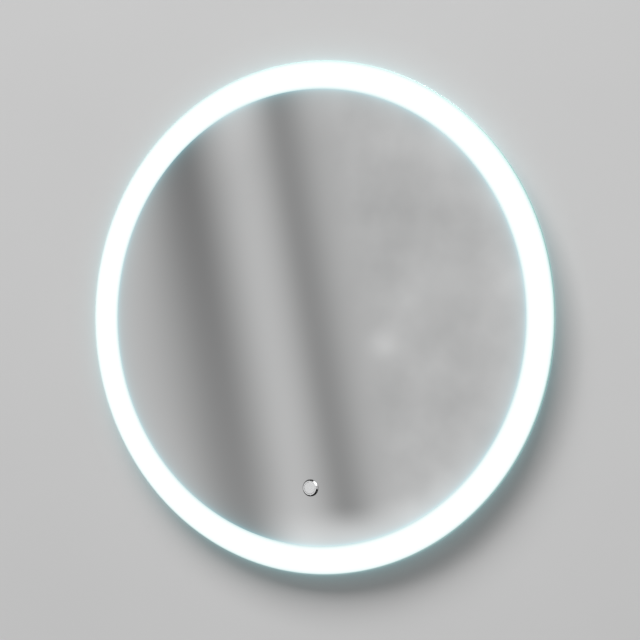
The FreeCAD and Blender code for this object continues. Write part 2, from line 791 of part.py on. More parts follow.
def cut_ports(base, start, sides):
    """Pairs of wire ports through an end wall, cut from a plane across the case."""
    ports = sketch_on(base, "YZ_Plane", start)
    for side in sides:
        for step in ("- driver_port_pitch / 2", "+ driver_port_pitch / 2"):
            circle(ports, "driver_port", f"{side}({DRIVER_PORT_Y} {step})", "driver_port_height")
    cut(base, ports, "driver_wall + 2 * port_margin")


def make_driver_board():
    """The circuit board on its bosses, with its plugs, transformer and capacitors."""
    seat = f"({PANEL_FACE} + driver_wall + boss_height)"
    top = f"({seat} + board_thickness)"
    room = f"({PANEL_FACE} + {DRIVER_HEIGHT} - {top})"
    board = new_body("driver_board", y="driver_y", z=seat)
    spread = "(2 * driver_wall + 2 * board_margin)"
    pad(board, rectangle(sketch_on(board), f"driver_length - {spread}", f"driver_width - {spread}"),
        "board_thickness")
    plugs = new_body("driver_plugs", y="driver_y", z=top)
    plugs.AllowCompound = True
    sketch = sketch_on(plugs)
    for x, y in ((PLUG_X, DRIVER_PORT_Y), (f"-{PLUG_X}", DRIVER_PORT_Y), (f"-{PLUG_X}", f"-{DRIVER_PORT_Y}")):
        rectangle(sketch, "plug_length", "plug_width", x, y)
    pad(plugs, sketch, "plug_height")
    coil = new_body("driver_transformer", y="driver_y", z=top)
    pad(coil, rectangle(sketch_on(coil), "transformer_length", "transformer_width"),
        f"{room} - transformer_gap")
    dress(coil, "Chamfer", "transformer_chamfer", upright)
    cans = new_body("driver_capacitors", y="driver_y", z=top)
    cans.AllowCompound = True
    sketch = sketch_on(cans)
    for x, y in (("capacitor_x", "capacitor_y"), ("capacitor_x", "-capacitor_y"), ("-capacitor_x", "0")):
        circle(sketch, "capacitor_radius", x, y)
    pad(cans, sketch, f"{room} - capacitor_gap")


# ---------------------------------------------------------------- earth

def make_earth():
    """The welded stud on the panel with its ring lug and nut."""
    stud = new_body("earth_stud", x=EARTH_X, y="earth_y", z=PANEL_FACE)
    pad(stud, circle(sketch_on(stud), "earth_radius"), "earth_length")
    lug = new_body("earth_lug", x=EARTH_X, y="earth_y", z=PANEL_FACE)
    pad(lug, circle(sketch_on(lug), "lug_radius"), "lug_gauge")
    barrel = sketch_on(lug, "YZ_Plane", "-lug_reach")
    pad(lug, circle(barrel, "lug_barrel", y="lug_barrel + lug_lift"), "lug_reach - earth_radius")
    hole = circle(sketch_on(lug, offset="3 * lug_barrel"), "earth_radius + earth_clearance")
    cut(lug, hole, "3 * lug_barrel")
    crush = circle(sketch_on(lug, offset="3 * lug_barrel"), "earth_nut_flats / sqrt(3) + earth_clearance")
    cut(lug, crush, "3 * lug_barrel - lug_gauge")
    nut = new_body("earth_nut", x=EARTH_X, y="earth_y", z=f"{PANEL_FACE} + lug_gauge")
    pad(nut, hexagon(sketch_on(nut), "earth_nut_flats"), "earth_nut_height")
    bore = circle(sketch_on(nut, offset="earth_nut_height"), "earth_radius + earth_clearance")
    cut(nut, bore, "earth_nut_height")


# ---------------------------------------------------------------- push button

# Levels at the button, measured from the face of the glass.
BEZEL_LOW = "button_seal"
BEZEL_TOP = "(button_seal + bezel_height)"
BARREL_END = "(button_seal - barrel_reach)"
BORE = "(barrel_radius - barrel_wall)"
CAP_RADIUS = f"({BORE} - cap_clearance)"
CAP_LOW = f"({BEZEL_TOP} - cap_height)"
SHELF_TOP = f"({BEZEL_TOP} - shelf_depth)"
SHELF_LOW = f"({SHELF_TOP} - shelf_thickness)"
SWITCH_LOW = f"({PANEL_FACE} + switch_gap - total_depth)"
WELL_FLOOR = f"({SWITCH_LOW} + switch_floor)"
STEM_END = f"({WELL_FLOOR} + switch_play + button_travel)"
STEM_HOLE = "(stem_radius + cap_clearance)"
CLIP_TOP = f"({SHELF_LOW} - circlip_play)"
CLIP_LOW = f"({CLIP_TOP} - circlip_thickness)"
SPIGOT_TOP = f"({BARREL_END} + switch_spigot)"


def at_button(label):
    """A body whose origin is on the button's axis, on the face of the glass."""
    return new_body(label, y=BUTTON_Y, z="total_depth")


def make_button():
    """Bezel and barrel in one, clamped to the glass, with the cap that travels in it."""
    bezel = at_button("button_bezel")
    turn(bezel, [
        (BORE, BEZEL_TOP), ("bezel_radius - bezel_chamfer", BEZEL_TOP),
        ("bezel_radius", f"{BEZEL_TOP} - bezel_chamfer"), ("bezel_radius", BEZEL_LOW),
        ("barrel_radius", BEZEL_LOW), ("barrel_radius", BARREL_END), (BORE, BARREL_END),
        (BORE, SHELF_LOW), (STEM_HOLE, SHELF_LOW), (STEM_HOLE, SHELF_TOP), (BORE, SHELF_TOP),
    ])
    seal = at_button("button_seal")
    seal_in = "barrel_radius + glass_clearance / 2"
    turn(seal, [(seal_in, "0"), (f"{seal_in} + button_seal_width", "0"),
                (f"{seal_in} + button_seal_width", BEZEL_LOW), (seal_in, BEZEL_LOW)])
    back = "-(glass_thickness + silver_thickness)"
    bore = "barrel_radius + thread_clearance"
    washer = at_button("button_washer")
    low = f"{back} - washer_thickness"
    turn(washer, [(bore, low), ("washer_radius", low), ("washer_radius", back), (bore, back)])
    nut = at_button("button_nut")
    pad(nut, hexagon(sketch_on(nut, offset=f"{low} - nut_height"), "nut_flats"), "nut_height")
    cut(nut, circle(sketch_on(nut, offset=low), bore), "nut_height")
    cap = at_button("button_cap")
    groove = "stem_radius - groove_depth"
    turn(cap, [
        ("0", BEZEL_TOP), (f"{CAP_RADIUS} - cap_edge", BEZEL_TOP), (CAP_RADIUS, f"{BEZEL_TOP} - cap_edge"),
        (CAP_RADIUS, CAP_LOW), ("stem_radius", CAP_LOW), ("stem_radius", CLIP_TOP), (groove, CLIP_TOP),
        (groove, CLIP_LOW), ("stem_radius", CLIP_LOW), ("stem_radius", STEM_END), ("0", STEM_END),
    ])
    clip = at_button("button_circlip")
    clip_in = f"{groove} + thread_clearance"
    turn(clip, [(clip_in, CLIP_LOW), ("circlip_radius", CLIP_LOW), ("circlip_radius", CLIP_TOP), (clip_in, CLIP_TOP)])


def make_button_spring():
    """The return spring between the barrel's shelf and the cap."""
    spring = at_button("button_spring")
    first = f"{SHELF_TOP} + spring_wire + spring_gap"
    wire = circle(sketch_on(spring, "XZ_Plane"), "spring_wire", "spring_radius", first)
    coil = spring.newObject("PartDesign::AdditiveHelix", "spring_coil")
    coil.Profile = wire
    coil.ReferenceAxis = (wire, ["V_Axis"])
    coil.Mode = "pitch-height-angle"
    bind(coil, "Pitch", "spring_pitch")
    bind(coil, "Height", f"{CAP_LOW} - {SHELF_TOP} - 2 * (spring_wire + spring_gap)")
    doc.recompute()


def make_switch():
    """The switch that closes the barrel, with the well its stem dips into."""
    body = at_button("switch_body")
    pad(body, rectangle(sketch_on(body, offset=SWITCH_LOW), "switch_width", "switch_width"),
        f"{BARREL_END} - {SWITCH_LOW}")
    spigot = circle(sketch_on(body, offset=BARREL_END), f"{BORE} - cap_clearance")
    pad(body, spigot, "switch_spigot")
    well = circle(sketch_on(body, offset=SPIGOT_TOP), "switch_bore")
    cut(body, well, f"{SPIGOT_TOP} - {WELL_FLOOR}")
    blades = at_button("switch_blades")
    blades.AllowCompound = True
    sketch = sketch_on(blades, offset=f"{SWITCH_LOW} + blade_height")
    for side in ("", "-"):
        rectangle(sketch, "blade_width", "blade_length", f"{side}blade_spacing / 2",
                  "switch_width / 2 + blade_length / 2")
    pad(blades, sketch, "blade_thickness")


# ---------------------------------------------------------------- leads

# Each route is in millimetres: x, y up the mirror and z above the wall.
ROUTES = {
    "lead_live": [
        (32, 10, 13), (41, 10, 13), (52, 22, 10.8), (72, 36, 10.2), (83, 62, 10.3),
        (87, 93, 12.8), (80, 121, 17), (62, 121, 17),
    ],
    "lead_neutral": [
        (32, -10, 13), (43, -10, 13), (62, -13, 10.5), (82, -2, 10.2), (94, 22, 10.3),
        (99, 52, 10.2), (101, 84, 11.5), (99, 108, 15), (85, 125, 17), (62, 125, 17),
    ],
    "lead_earth": [(32, 0, 13), (41, 0, 13), (50, 6, 10.4), (60, 6, 10.4)],
    "lead_strip_positive": [
        (-62, 125, 17), (-83, 125, 17), (-103, 109, 13.5), (-120, 82, 10.4), (-146, 55, 10.2),
        (-176, 32, 10.3), (-203, 14, 13.5), (-224, 2.2, 18), (-240.9, 2.2, 18),
    ],
    "lead_strip_negative": [
        (-62, 121, 17), (-81, 121, 17), (-99.5, 106, 13.5), (-116, 79, 10.4), (-142.5, 51, 10.2),
        (-173, 27.5, 10.3), (-200, 9.5, 13.5), (-222, -2.2, 18), (-240.9, -2.2, 18),
    ],
    "lead_switch_feed": [
        (-3, -186, 13.4), (-3, -170, 13.4), (-16, -142, 10.6), (-42, -108, 10.2), (-68, -72, 10.3),
        (-84, -28, 10.2), (-92, 20, 10.3), (-97, 55, 10.2), (-96, 82, 13.5), (-84, 99, 17), (-62, 99, 17),
    ],
    "lead_switch_return": [
        (3, -186, 13.4), (3, -168, 13.4), (-11, -138, 10.6), (-38, -104, 10.3), (-64, -68, 10.2),
        (-79.5, -26, 10.3), (-88, 20, 10.2), (-93, 54, 10.3), (-92, 78.5, 13), (-82, 95, 17), (-62, 95, 17),
    ],
}
ARC_SHARE = 0.45


def smooth_path(route):
    """Straight runs joined by arcs as large as the shorter run beside each allows."""
    spots = [Vector(*spot) for spot in route]
    edges = []
    radii = []
    start = spots[0]
    for before, corner, after in zip(spots, spots[1:], spots[2:]):
        come, leave = corner - before, after - corner
        half = come.getAngle(leave) / 2
        setback = ARC_SHARE * min(come.Length, leave.Length)
        radius = setback / math.tan(half)
        come.normalize()
        leave.normalize()
        inward = leave - come
        inward.normalize()
        first, last = corner - come * setback, corner + leave * setback
        middle = corner + inward * (radius / math.cos(half) - radius)
        edges.append(Part.LineSegment(start, first).toShape())
        edges.append(Part.Arc(first, middle, last).toShape())
        radii.append(radius)
        start = last
    edges.append(Part.LineSegment(start, spots[-1]).toShape())
    return Part.Wire(edges), min(radii)


def make_lead(label, route):
    """One insulated wire along its route."""
    path, tightest = smooth_path(route)
    radius = float(sheet.lead_radius)
    heading = Vector(*route[1]) - Vector(*route[0])
    section = Part.Wire([Part.Circle(Vector(*route[0]), heading, radius).toShape()])
    tube = path.makePipeShell([section], True, False)
    expected = math.pi * radius ** 2 * path.Length
    if abs(tube.Volume / expected - 1) > 0.002:
        raise ValueError(f"{label} doesn't fill its route")
    print(f"{label}: {path.Length:.0f} mm long, tightest bend {tightest:.1f} mm")
    lead = doc.addObject("Part::Feature", label)
    lead.Label = label
    lead.Shape = tube
    lead.Placement = Placement(Vector(), ON_ITS_BACK)
    sub_parts.append(lead)


def make_leads():
    """The internal wiring and the clips that hold it to the panel."""
    for label, route in ROUTES.items():
        make_lead(label, route)
    clip = new_body("clip_pattern", kept=False)
    pad(clip, rectangle(sketch_on(clip), "clip_width", "clip_length"), "clip_height")
    dress(clip, "Fillet", "clip_length / 4", upright)
    tunnel = rectangle(sketch_on(clip, "XZ_Plane"), "clip_tunnel", "2 * clip_tunnel_height")
    cut(clip, tunnel, "2 * clip_length", symmetric=True)
    stations = [
        (-27, -123, 37.4), (-53, -88, 35.8), (-85.9, -3.5, 9.5), (-92.5, 37.3, 8.1),
        (-131.1, 66.8, -43.9), (-159.4, 41.4, -52.5),
    ]
    spots = [(str(x), str(y), PANEL_FACE, Rotation(Vector(0, 0, 1), angle)) for x, y, angle in stations]
    copies("wire_clips", clip, spots)


def place_fasteners():
    """Screws and rivets in their holes."""
    screw = make_screw()
    copies("cover_screws", screw, [(x, y, COVER_BACK, FLIPPED) for x, y in cover_screw_spots()])
    clamp_seat = "recess_depth + clamp_gauge"
    copies("clamp_screws", screw, [(x, y, clamp_seat, UPRIGHT) for x, y in clamp_screw_spots()])
    ear_seat = f"{PANEL_FACE} + driver_ear_height"
    copies("driver_screws", screw, [(x, y, ear_seat, UPRIGHT) for x, y in driver_screw_spots()])
    hanger_rivet = make_rivet("hanger_rivet_pattern", "tray_gauge + hanger_gauge")
    copies("hanger_rivets", hanger_rivet, [(x, y, PANEL_FACE, UPRIGHT) for x, y in hanger_rivet_spots()])
    carrier_rivet = make_rivet("carrier_rivet_pattern", "tray_gauge + carrier_gauge")
    rivet_seat = f"{PANEL_FACE} + carrier_gauge"
    spots = [(*carrier_rivet_spot(str(number)), rivet_seat, UPRIGHT) for number in range(int(sheet.carrier_rivets))]
    copies("carrier_rivets", carrier_rivet, spots)


make_glass()
make_silver()
make_band()
make_tray()
make_carrier()
make_light()
make_hangers()
make_cover()
make_entry()
make_terminals()
make_driver_case()
make_driver_board()
make_earth()
make_button()
make_button_spring()
make_switch()
make_leads()
place_fasteners()
doc.recompute()

for item in doc.Objects:
    if "Invalid" in item.State or "Error" in item.State:
        raise ValueError(f"{item.Label} did not build: {item.State}")
for sub_part in sub_parts:
    shape = sub_part.Shape
    if shape.isNull() or not shape.isValid() or not shape.Solids:
        raise ValueError(f"{sub_part.Label} has no sound shape")
for sub_part in sub_parts:
    sub_part.Shape.exportStep(f"parts/{sub_part.Label}.step")
print(f"{len(sub_parts)} sub-parts written")
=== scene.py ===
import json
import math

import bmesh
import bpy
from mathutils import Matrix, Vector


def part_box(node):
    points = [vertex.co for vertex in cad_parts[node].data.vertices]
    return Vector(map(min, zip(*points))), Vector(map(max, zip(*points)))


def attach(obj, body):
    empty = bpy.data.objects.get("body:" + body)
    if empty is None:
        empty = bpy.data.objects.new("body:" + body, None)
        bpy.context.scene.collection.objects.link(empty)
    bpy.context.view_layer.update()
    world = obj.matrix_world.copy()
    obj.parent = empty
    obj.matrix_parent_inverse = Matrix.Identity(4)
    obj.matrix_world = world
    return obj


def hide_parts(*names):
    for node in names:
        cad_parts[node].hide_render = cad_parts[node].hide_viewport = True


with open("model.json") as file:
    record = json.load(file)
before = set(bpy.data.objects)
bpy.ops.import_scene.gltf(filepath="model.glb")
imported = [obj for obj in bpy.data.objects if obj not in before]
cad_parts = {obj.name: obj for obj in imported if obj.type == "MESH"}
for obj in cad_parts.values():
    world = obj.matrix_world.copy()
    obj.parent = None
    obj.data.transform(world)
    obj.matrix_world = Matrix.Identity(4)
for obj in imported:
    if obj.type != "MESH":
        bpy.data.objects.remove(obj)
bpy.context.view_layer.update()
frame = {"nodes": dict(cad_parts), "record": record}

MM = 0.001

# Sizes that the frame gives, in metres.
GLASS_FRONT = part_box("mirror_glass")[0].y
GLASS_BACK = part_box("mirror_glass")[1].y
MIRROR_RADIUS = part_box("mirror_glass")[1].x
SILVER_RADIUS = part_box("silver_coating")[1].x
BUTTON_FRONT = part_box("button_bezel")[0].y
BEZEL_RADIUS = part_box("button_bezel")[1].x
CAP_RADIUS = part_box("button_cap")[1].x
BUTTON_Z = (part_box("button_bezel")[0].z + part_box("button_bezel")[1].z) / 2
FACE = Vector((0, GLASS_FRONT, 0))

# Sizes of the glass and the button that the frame's boxes don't give.
ARRIS = 0.8 * MM
GLASS_EDGE = 0.15 * MM
HOLE_RADIUS = 8.2 * MM
BUTTON_EDGE = 0.08 * MM
BEZEL_CHAMFER = 1.7 * MM
BARREL_RADIUS = 8 * MM
BORE = 7 * MM
SHELF_DEPTH = 13 * MM
SHELF_THICKNESS = 1.5 * MM
STEM_HOLE = 2.6 * MM
SATIN_FACES = 0.97
SATIN_DEPTH = 0.1 * MM
CAP_HEIGHT = 4 * MM
CAP_EDGE = 0.3 * MM
STEM_RADIUS = 2.5 * MM

# -------------------------------- the camera's place

CAMERA_AZIMUTH = math.radians(26.917)
CAMERA_ELEVATION = math.radians(0.174)
CAMERA_ROLL = math.radians(0.4856)
CAMERA_DISTANCE = 2.4918
FOCAL_PIXELS = 2133.15
PICTURE = 640
CENTRE_SEEN = (312.02, 317.64)
FILM_WIDTH = 36
FAR_CLIP = 100


def make_camera():
    """A camera whose picture has the mirror's centre where the photograph has it."""
    azimuth, elevation = CAMERA_AZIMUTH, CAMERA_ELEVATION
    back = Vector((
        math.sin(azimuth) * math.cos(elevation),
        -math.cos(azimuth) * math.cos(elevation),
        math.sin(elevation),
    ))
    right = Vector((math.cos(azimuth), math.sin(azimuth), 0))
    aimed = Matrix((right, back.cross(right), back)).transposed()
    aside = math.atan((CENTRE_SEEN[0] - PICTURE / 2) / FOCAL_PIXELS)
    down = math.atan((CENTRE_SEEN[1] - PICTURE / 2) / FOCAL_PIXELS)
    facing = aimed @ Matrix.Rotation(aside, 3, "Y") @ Matrix.Rotation(down, 3, "X")
    facing = facing @ Matrix.Rotation(CAMERA_ROLL, 3, "Z")
    camera = bpy.data.objects.new("camera", bpy.data.cameras.new("camera"))
    camera.data.sensor_width = FILM_WIDTH
    camera.data.lens = FOCAL_PIXELS * FILM_WIDTH / PICTURE
    camera.data.clip_end = FAR_CLIP
    camera.matrix_world = Matrix.Translation(FACE + back * CAMERA_DISTANCE) @ facing.to_4x4()
    bpy.context.scene.collection.objects.link(camera)
    bpy.context.scene.camera = camera
    return camera


camera = make_camera()

# -------------------------------- shader maths


class Amount:
    """A number that varies over a surface or the world. Python's operators add the Math nodes."""

    def __init__(self, nodes, socket):
        self.nodes, self.socket = nodes, socket

    def join(self, operation, *terms):
        return self.nodes.add("Math", {"operation": operation}, dict(enumerate(terms)))

    def __add__(self, other):
        return self.join("ADD", self, other)

    def __radd__(self, other):
        return self.join("ADD", other, self)

    def __sub__(self, other):
        return self.join("SUBTRACT", self, other)

    def __rsub__(self, other):
        return self.join("SUBTRACT", other, self)

    def __mul__(self, other):
        return self.join("MULTIPLY", self, other)

    def __rmul__(self, other):
        return self.join("MULTIPLY", other, self)

    def __truediv__(self, other):
        return self.join("DIVIDE", self, other)

    def __rtruediv__(self, other):
        return self.join("DIVIDE", other, self)

    def __pow__(self, other):
        return self.join("POWER", self, other)

    def __rpow__(self, other):
        return self.join("POWER", other, self)

    def __gt__(self, other):
        return self.join("GREATER_THAN", self, other)

    def __lt__(self, other):
        return self.join("LESS_THAN", self, other)

    def low(self, other):
        """The smaller of two numbers."""
        return self.join("MINIMUM", self, other)

    def high(self, other):
        """The larger of two numbers."""
        return self.join("MAXIMUM", self, other)

    def wrap(self, half):
        """The same number, brought into the range from minus half to half by whole turns."""
        return self.join("WRAP", self, half, -half)

    def ramp(self, start, end):
        """Goes smoothly from 0 at the start to 1 at the end."""
        settings = {"interpolation_type": "SMOOTHSTEP"}
        sockets = {"Value": self, "From Min": start, "From Max": end}
        return self.nodes.add("MapRange", settings, sockets)

    def fade(self, reach):
        """Is 1 where the number is 0 and falls off as it grows, to about a third at the reach."""
        return math.e ** (self / -reach)

    def hump(self, width):
        """Is 1 where the number is 0 and fades to both sides."""
        share = self / width
        return math.e ** (share * share * -1)


class Nodes:
    """The nodes of one material or of the world."""

    def __init__(self, tree):
        self.tree = tree
        tree.nodes.clear()

    def add(self, kind, settings=None, sockets=None, out=0):
        """A node of a kind with its settings, then its sockets' values or links; gives one output."""
        node = self.tree.nodes.new("ShaderNode" + kind)
        for name, value in (settings or {}).items():
            setattr(node, name, value)
        for name, value in (sockets or {}).items():
            if isinstance(value, Amount):
                self.tree.links.new(value.socket, node.inputs[name])
            else:
                node.inputs[name].default_value = value
        return Amount(self, node.outputs[out]) if node.outputs else node

    def place(self):
        """The place on the piece, in metres."""
        return self.add("TexCoord", out="Object")

    def axis(self, vector, name):
        """One component of a vector."""
        return self.add("SeparateXYZ", None, {0: vector}, out=name)

    def stretch(self, vector, scale, turn=(0, 0, 0)):
        """A vector stretched and turned, to lay a pattern in one direction."""
        return self.add("Mapping", None, {"Vector": vector, "Scale": scale, "Rotation": turn})

    def noise(self, vector, scale, detail=2, rough=0.5):
        """Soft noise with features a little smaller than 1 / scale, from 0 to 1."""
        sockets = {"Vector": vector, "Scale": scale, "Detail": detail, "Roughness": rough}
        return self.add("TexNoise", None, sockets)

    def mix(self, share, first, second, blend="MIX"):
        """A blend of two colours."""
        settings = {"data_type": "RGBA", "blend_type": blend}
        return self.add("Mix", settings, {0: share, 6: first, 7: second}, out=2)

    def bump(self, height, depth, strength=1.0):
        """A surface normal from heights of 0 to 1 that stand for a depth in metres."""
        return self.add("Bump", None, {"Height": height, "Distance": depth, "Strength": strength})


class Finish(Nodes):
    """One procedural material."""

    def __init__(self, name):
        self.material = bpy.data.materials.new(name)
        self.material.use_nodes = True
        super().__init__(self.material.node_tree)

    def surface(self, colour, roughness, **sockets):
        """End the material in one Principled shader."""
        values = {"Base Color": colour, "Roughness": roughness}
        values.update({name.replace("_", " "): value for name, value in sockets.items()})
        shader = self.add("BsdfPrincipled", None, values)
        self.add("OutputMaterial", None, {"Surface": shader})
        return self.material


def opaque(red, green, blue):
    """A colour with full alpha."""
    return (red, green, blue, 1)


def grey(level):
    """A neutral grey."""
    return opaque(level, level, level)


BLACK = grey(0)
WHITE = grey(1)

# -------------------------------- finishes of the mirror plate

# A painted glow of the band's light on the silver beside it: its share and how far it reaches.
PAINTED_GLOW_CLOSE = (0.17, 2.2 * MM)
PAINTED_GLOW_FAR = (0.11, 9 * MM)
PAINTED_GLOW_CYAN = opaque(0.22, 0.85, 1.0)
SILVER_CLEAN = opaque(0.925, 0.93, 0.93)
SILVER_SMUDGED = opaque(0.89, 0.895, 0.895)
BAND_LIGHT = opaque(0.72, 0.74, 0.74)
BAND_LIGHT_AT_EDGE = opaque(0.27, 0.45, 0.45)
BAND_FADE = 2.1 * MM
# Painted glow on the ground edge, at its front and at its back.
PAINTED_EDGE_GLOW_FRONT = opaque(0.26, 0.35, 0.35)
PAINTED_EDGE_GLOW_BACK = opaque(0.04, 0.085, 0.08)
SATIN_LINES = 16000


def from_axis(nodes):
    """Distance of a place from the mirror's axis."""
    place = nodes.place()
    x, z = nodes.axis(place, "X"), nodes.axis(place, "Z")
    return (x * x + z * z) ** 0.5


def mirror_silver():
    """Silvered glass: faintly smudged, with a painted glow of the band's light along its edge."""
    finish = Finish("silvered_face")
    radius = from_axis(finish)
    place = finish.place()
    inward = (SILVER_RADIUS - radius).high(0)
    # Painted glow: cyan emission on the silver, strongest at the band and fading inwards.
    painted_glow_share = inward.fade(PAINTED_GLOW_CLOSE[1]) * PAINTED_GLOW_CLOSE[0] + inward.fade(PAINTED_GLOW_FAR[1]) * PAINTED_GLOW_FAR[0]
    painted_glow = finish.mix(painted_glow_share, BLACK, PAINTED_GLOW_CYAN)
    smudge = finish.noise(place, 9, 4, 0.55).ramp(0.52, 0.8)
    fine = finish.noise(place, 900, 2)
    roughness = 0.012 + smudge * 0.02 + fine * 0.006
    colour = finish.mix(smudge * 0.35, SILVER_CLEAN, SILVER_SMUDGED)
    return finish.surface(colour, roughness, Metallic=1.0, Emission_Color=painted_glow, Emission_Strength=1.0)


def lit_band():
    """The frosted band, lit evenly from behind, a little weaker and cooler along its two edges."""
    finish = Finish("lit_band")
    radius = from_axis(finish)
    inset = (radius - SILVER_RADIUS).low(MIRROR_RADIUS - radius).high(0)
    frost = finish.noise(finish.place(), 2500, 2)
    light = finish.mix(inset.fade(BAND_FADE), BAND_LIGHT, BAND_LIGHT_AT_EDGE)
    light = finish.mix(frost * 0.03, light, grey(0.6))
    colour = finish.mix(frost, opaque(0.33, 0.35, 0.35), opaque(0.37, 0.38, 0.38))
    normal = finish.bump(frost, 0.004 * MM)
    return finish.surface(
        colour, 0.12 + frost * 0.04, Emission_Color=light, Emission_Strength=1.0, Normal=normal,
    )


def ground_edge():
    """The finely ground edge of the glass: green by its thickness, with a painted glow at its front as if
    lit from inside.
    """
    finish = Finish("ground_edge")
    place = finish.place()
    grind = finish.noise(finish.stretch(place, (1, 30, 1)), 900, 3, 0.6)
    depth = (finish.axis(place, "Y") - GLASS_FRONT) / (GLASS_BACK - GLASS_FRONT)
    colour = finish.mix(grind, opaque(0.37, 0.56, 0.51), opaque(0.48, 0.66, 0.62))
    # Painted glow: emission on the glass edge, strongest at its front.
    painted_glow = finish.mix(depth.ramp(0.08, 0.3), PAINTED_EDGE_GLOW_FRONT, PAINTED_EDGE_GLOW_BACK)
    normal = finish.bump(grind, 0.02 * MM)
    return finish.surface(
        colour, 0.5 + grind * 0.2, Emission_Color=painted_glow, Emission_Strength=1.0, Normal=normal, IOR=1.52,
    )


def back_paint():
    """Grey sealing paint on the back of the silver."""
    finish = Finish("back_paint")
    place = finish.place()
    cloud = finish.noise(place, 35, 4, 0.6)
    grain = finish.noise(place, 1400, 2)
    colour = finish.mix(cloud, opaque(0.2, 0.215, 0.225), opaque(0.29, 0.3, 0.305))
    return finish.surface(colour, 0.38 + grain * 0.18, Normal=finish.bump(grain, 0.02 * MM, 0.6))


# -------------------------------- finishes of the parts


def powder_coat(name, colour):
    """Baked powder coat with its fine orange peel."""
    finish = Finish(name)
    place = finish.place()
    peel = finish.noise(place, 480, 2, 0.45)
    speck = finish.noise(place, 2600, 2)
    shade = finish.noise(place, 12, 3)
    dark = opaque(*(level * 0.93 for level in colour))
    height = peel * 0.75 + speck * 0.25
    return finish.surface(
        finish.mix(shade, dark, opaque(*colour)), 0.36 + speck * 0.14,
        Normal=finish.bump(height, 0.1 * MM, 0.8), Coat_Weight=0.12, Coat_Roughness=0.25,
    )


def rolled_metal(name, light, dark, roughness, grain=(1, 1, 40), cloudy=0.5):
    """Sheet metal with the lines of its rolling and a cloudy, uneven skin."""
    finish = Finish(name)
    place = finish.place()
    lines = finish.noise(finish.stretch(place, grain), 260, 3, 0.6)
    cloud = finish.noise(place, 70, 4, 0.6).ramp(0.3, 0.7)
    sockets = {"Vector": place, "Scale": 380, "Randomness": 1.0}
    fleck = finish.axis(finish.add("TexVoronoi", None, sockets, out="Color"), "X")
    share = cloud * cloudy + fleck * 0.25 + lines * 0.2
    colour = finish.mix(share.low(1), opaque(*dark), opaque(*light))
    level = roughness + lines * 0.1 + cloud * 0.06
    return finish.surface(colour, level, Metallic=1.0, Normal=finish.bump(lines, 0.012 * MM, 0.6))


def polished_chrome():
    """Bright chromium plate with hairline wipe marks."""
    finish = Finish("polished_chrome")
    place = finish.place()
    hair = finish.noise(finish.stretch(place, (1, 1, 9), (0, 0.6, 0)), 1500, 3, 0.7)
    bloom = finish.noise(place, 260, 3).ramp(0.45, 0.85)
    colour = finish.mix(bloom * 0.5, opaque(0.93, 0.935, 0.94), opaque(0.84, 0.85, 0.86))
    return finish.surface(colour, 0.045 + hair * 0.03 + bloom * 0.04, Metallic=1.0,
                          Normal=finish.bump(hair, 0.0006 * MM))


def satin_face():
    """The button's satin face: fine lines turned about its own axis."""
    finish = Finish("satin_face")
    place = finish.place()
    x, z = finish.axis(place, "X"), finish.axis(place, "Z") - BUTTON_Z
    radius = (x * x + z * z) ** 0.5
    ring = finish.add("CombineXYZ", None, {0: radius * SATIN_LINES})
    lathed = finish.noise(ring, 1, 3, 0.6)
    blast = finish.noise(place, 5200, 2)
    colour = finish.mix(lathed * 0.5 + blast * 0.3, opaque(0.83, 0.835, 0.84), opaque(0.92, 0.925, 0.93))
    return finish.surface(colour, 0.34 + lathed * 0.08 + blast * 0.05, Metallic=0.4,
                          Normal=finish.bump(lathed * 0.6 + blast * 0.4, 0.003 * MM))


def moulded(name, colour, roughness=0.42, texture=0.03):
    """Moulded plastic with a fine sparked texture and faint flow marks."""
    finish = Finish(name)
    place = finish.place()
    spark = finish.noise(place, 2200, 2, 0.6)
    flow = finish.noise(finish.stretch(place, (1, 1, 3)), 45, 3)
    dark = opaque(*(level * 0.86 for level in colour))
    return finish.surface(
        finish.mix(flow * 0.7 + spark * 0.3, dark, opaque(*colour)),
        roughness + spark * 0.16 + flow * 0.05,
        Normal=finish.bump(spark, texture * MM, 0.7),
    )


def moulded_rubber(name, colour):
    """Rubber: matt, with a pale bloom."""
    finish = Finish(name)
    place = finish.place()
    skin = finish.noise(place, 1500, 3, 0.6)
    bloom = finish.noise(place, 160, 3, 0.6).ramp(0.45, 0.75)
    pale = opaque(*(level + 0.05 for level in colour))
    return finish.surface(finish.mix(bloom * 0.6, opaque(*colour), pale), 0.62 + skin * 0.22,
                          Normal=finish.bump(skin, 0.02 * MM))


def cell_foam(name, colour):
    """Closed-cell foam."""
    finish = Finish(name)
    place = finish.place()
    sockets = {"Vector": place, "Scale": 1600, "Randomness": 1.0}
    cell = finish.add("TexVoronoi", {"feature": "DISTANCE_TO_EDGE"}, sockets).ramp(0, 0.3)
    dark = opaque(*(level * 0.6 for level in colour))
    return finish.surface(finish.mix(cell, dark, opaque(*colour)), 0.75 + cell * 0.15,
                          Normal=finish.bump(cell, 0.12 * MM))


def opal_sheet():
    """Opal acrylic, lit from behind."""
    finish = Finish("opal_sheet")
    haze = finish.noise(finish.place(), 600, 3)
    colour = finish.mix(haze, opaque(0.94, 0.95, 0.95), WHITE)
    return finish.surface(colour, 0.16 + haze * 0.08, Emission_Color=colour, Emission_Strength=0.8)


def light_chip():
    """The phosphor of a light chip, brightest at its middle."""
    finish = Finish("light_chip")
    grain = finish.noise(finish.place(), 4000, 2)
    colour = finish.mix(grain, opaque(1.0, 0.93, 0.62), opaque(1.0, 0.97, 0.82))
    return finish.surface(colour, 0.2 + grain * 0.1, Emission_Color=colour, Emission_Strength=1.2)


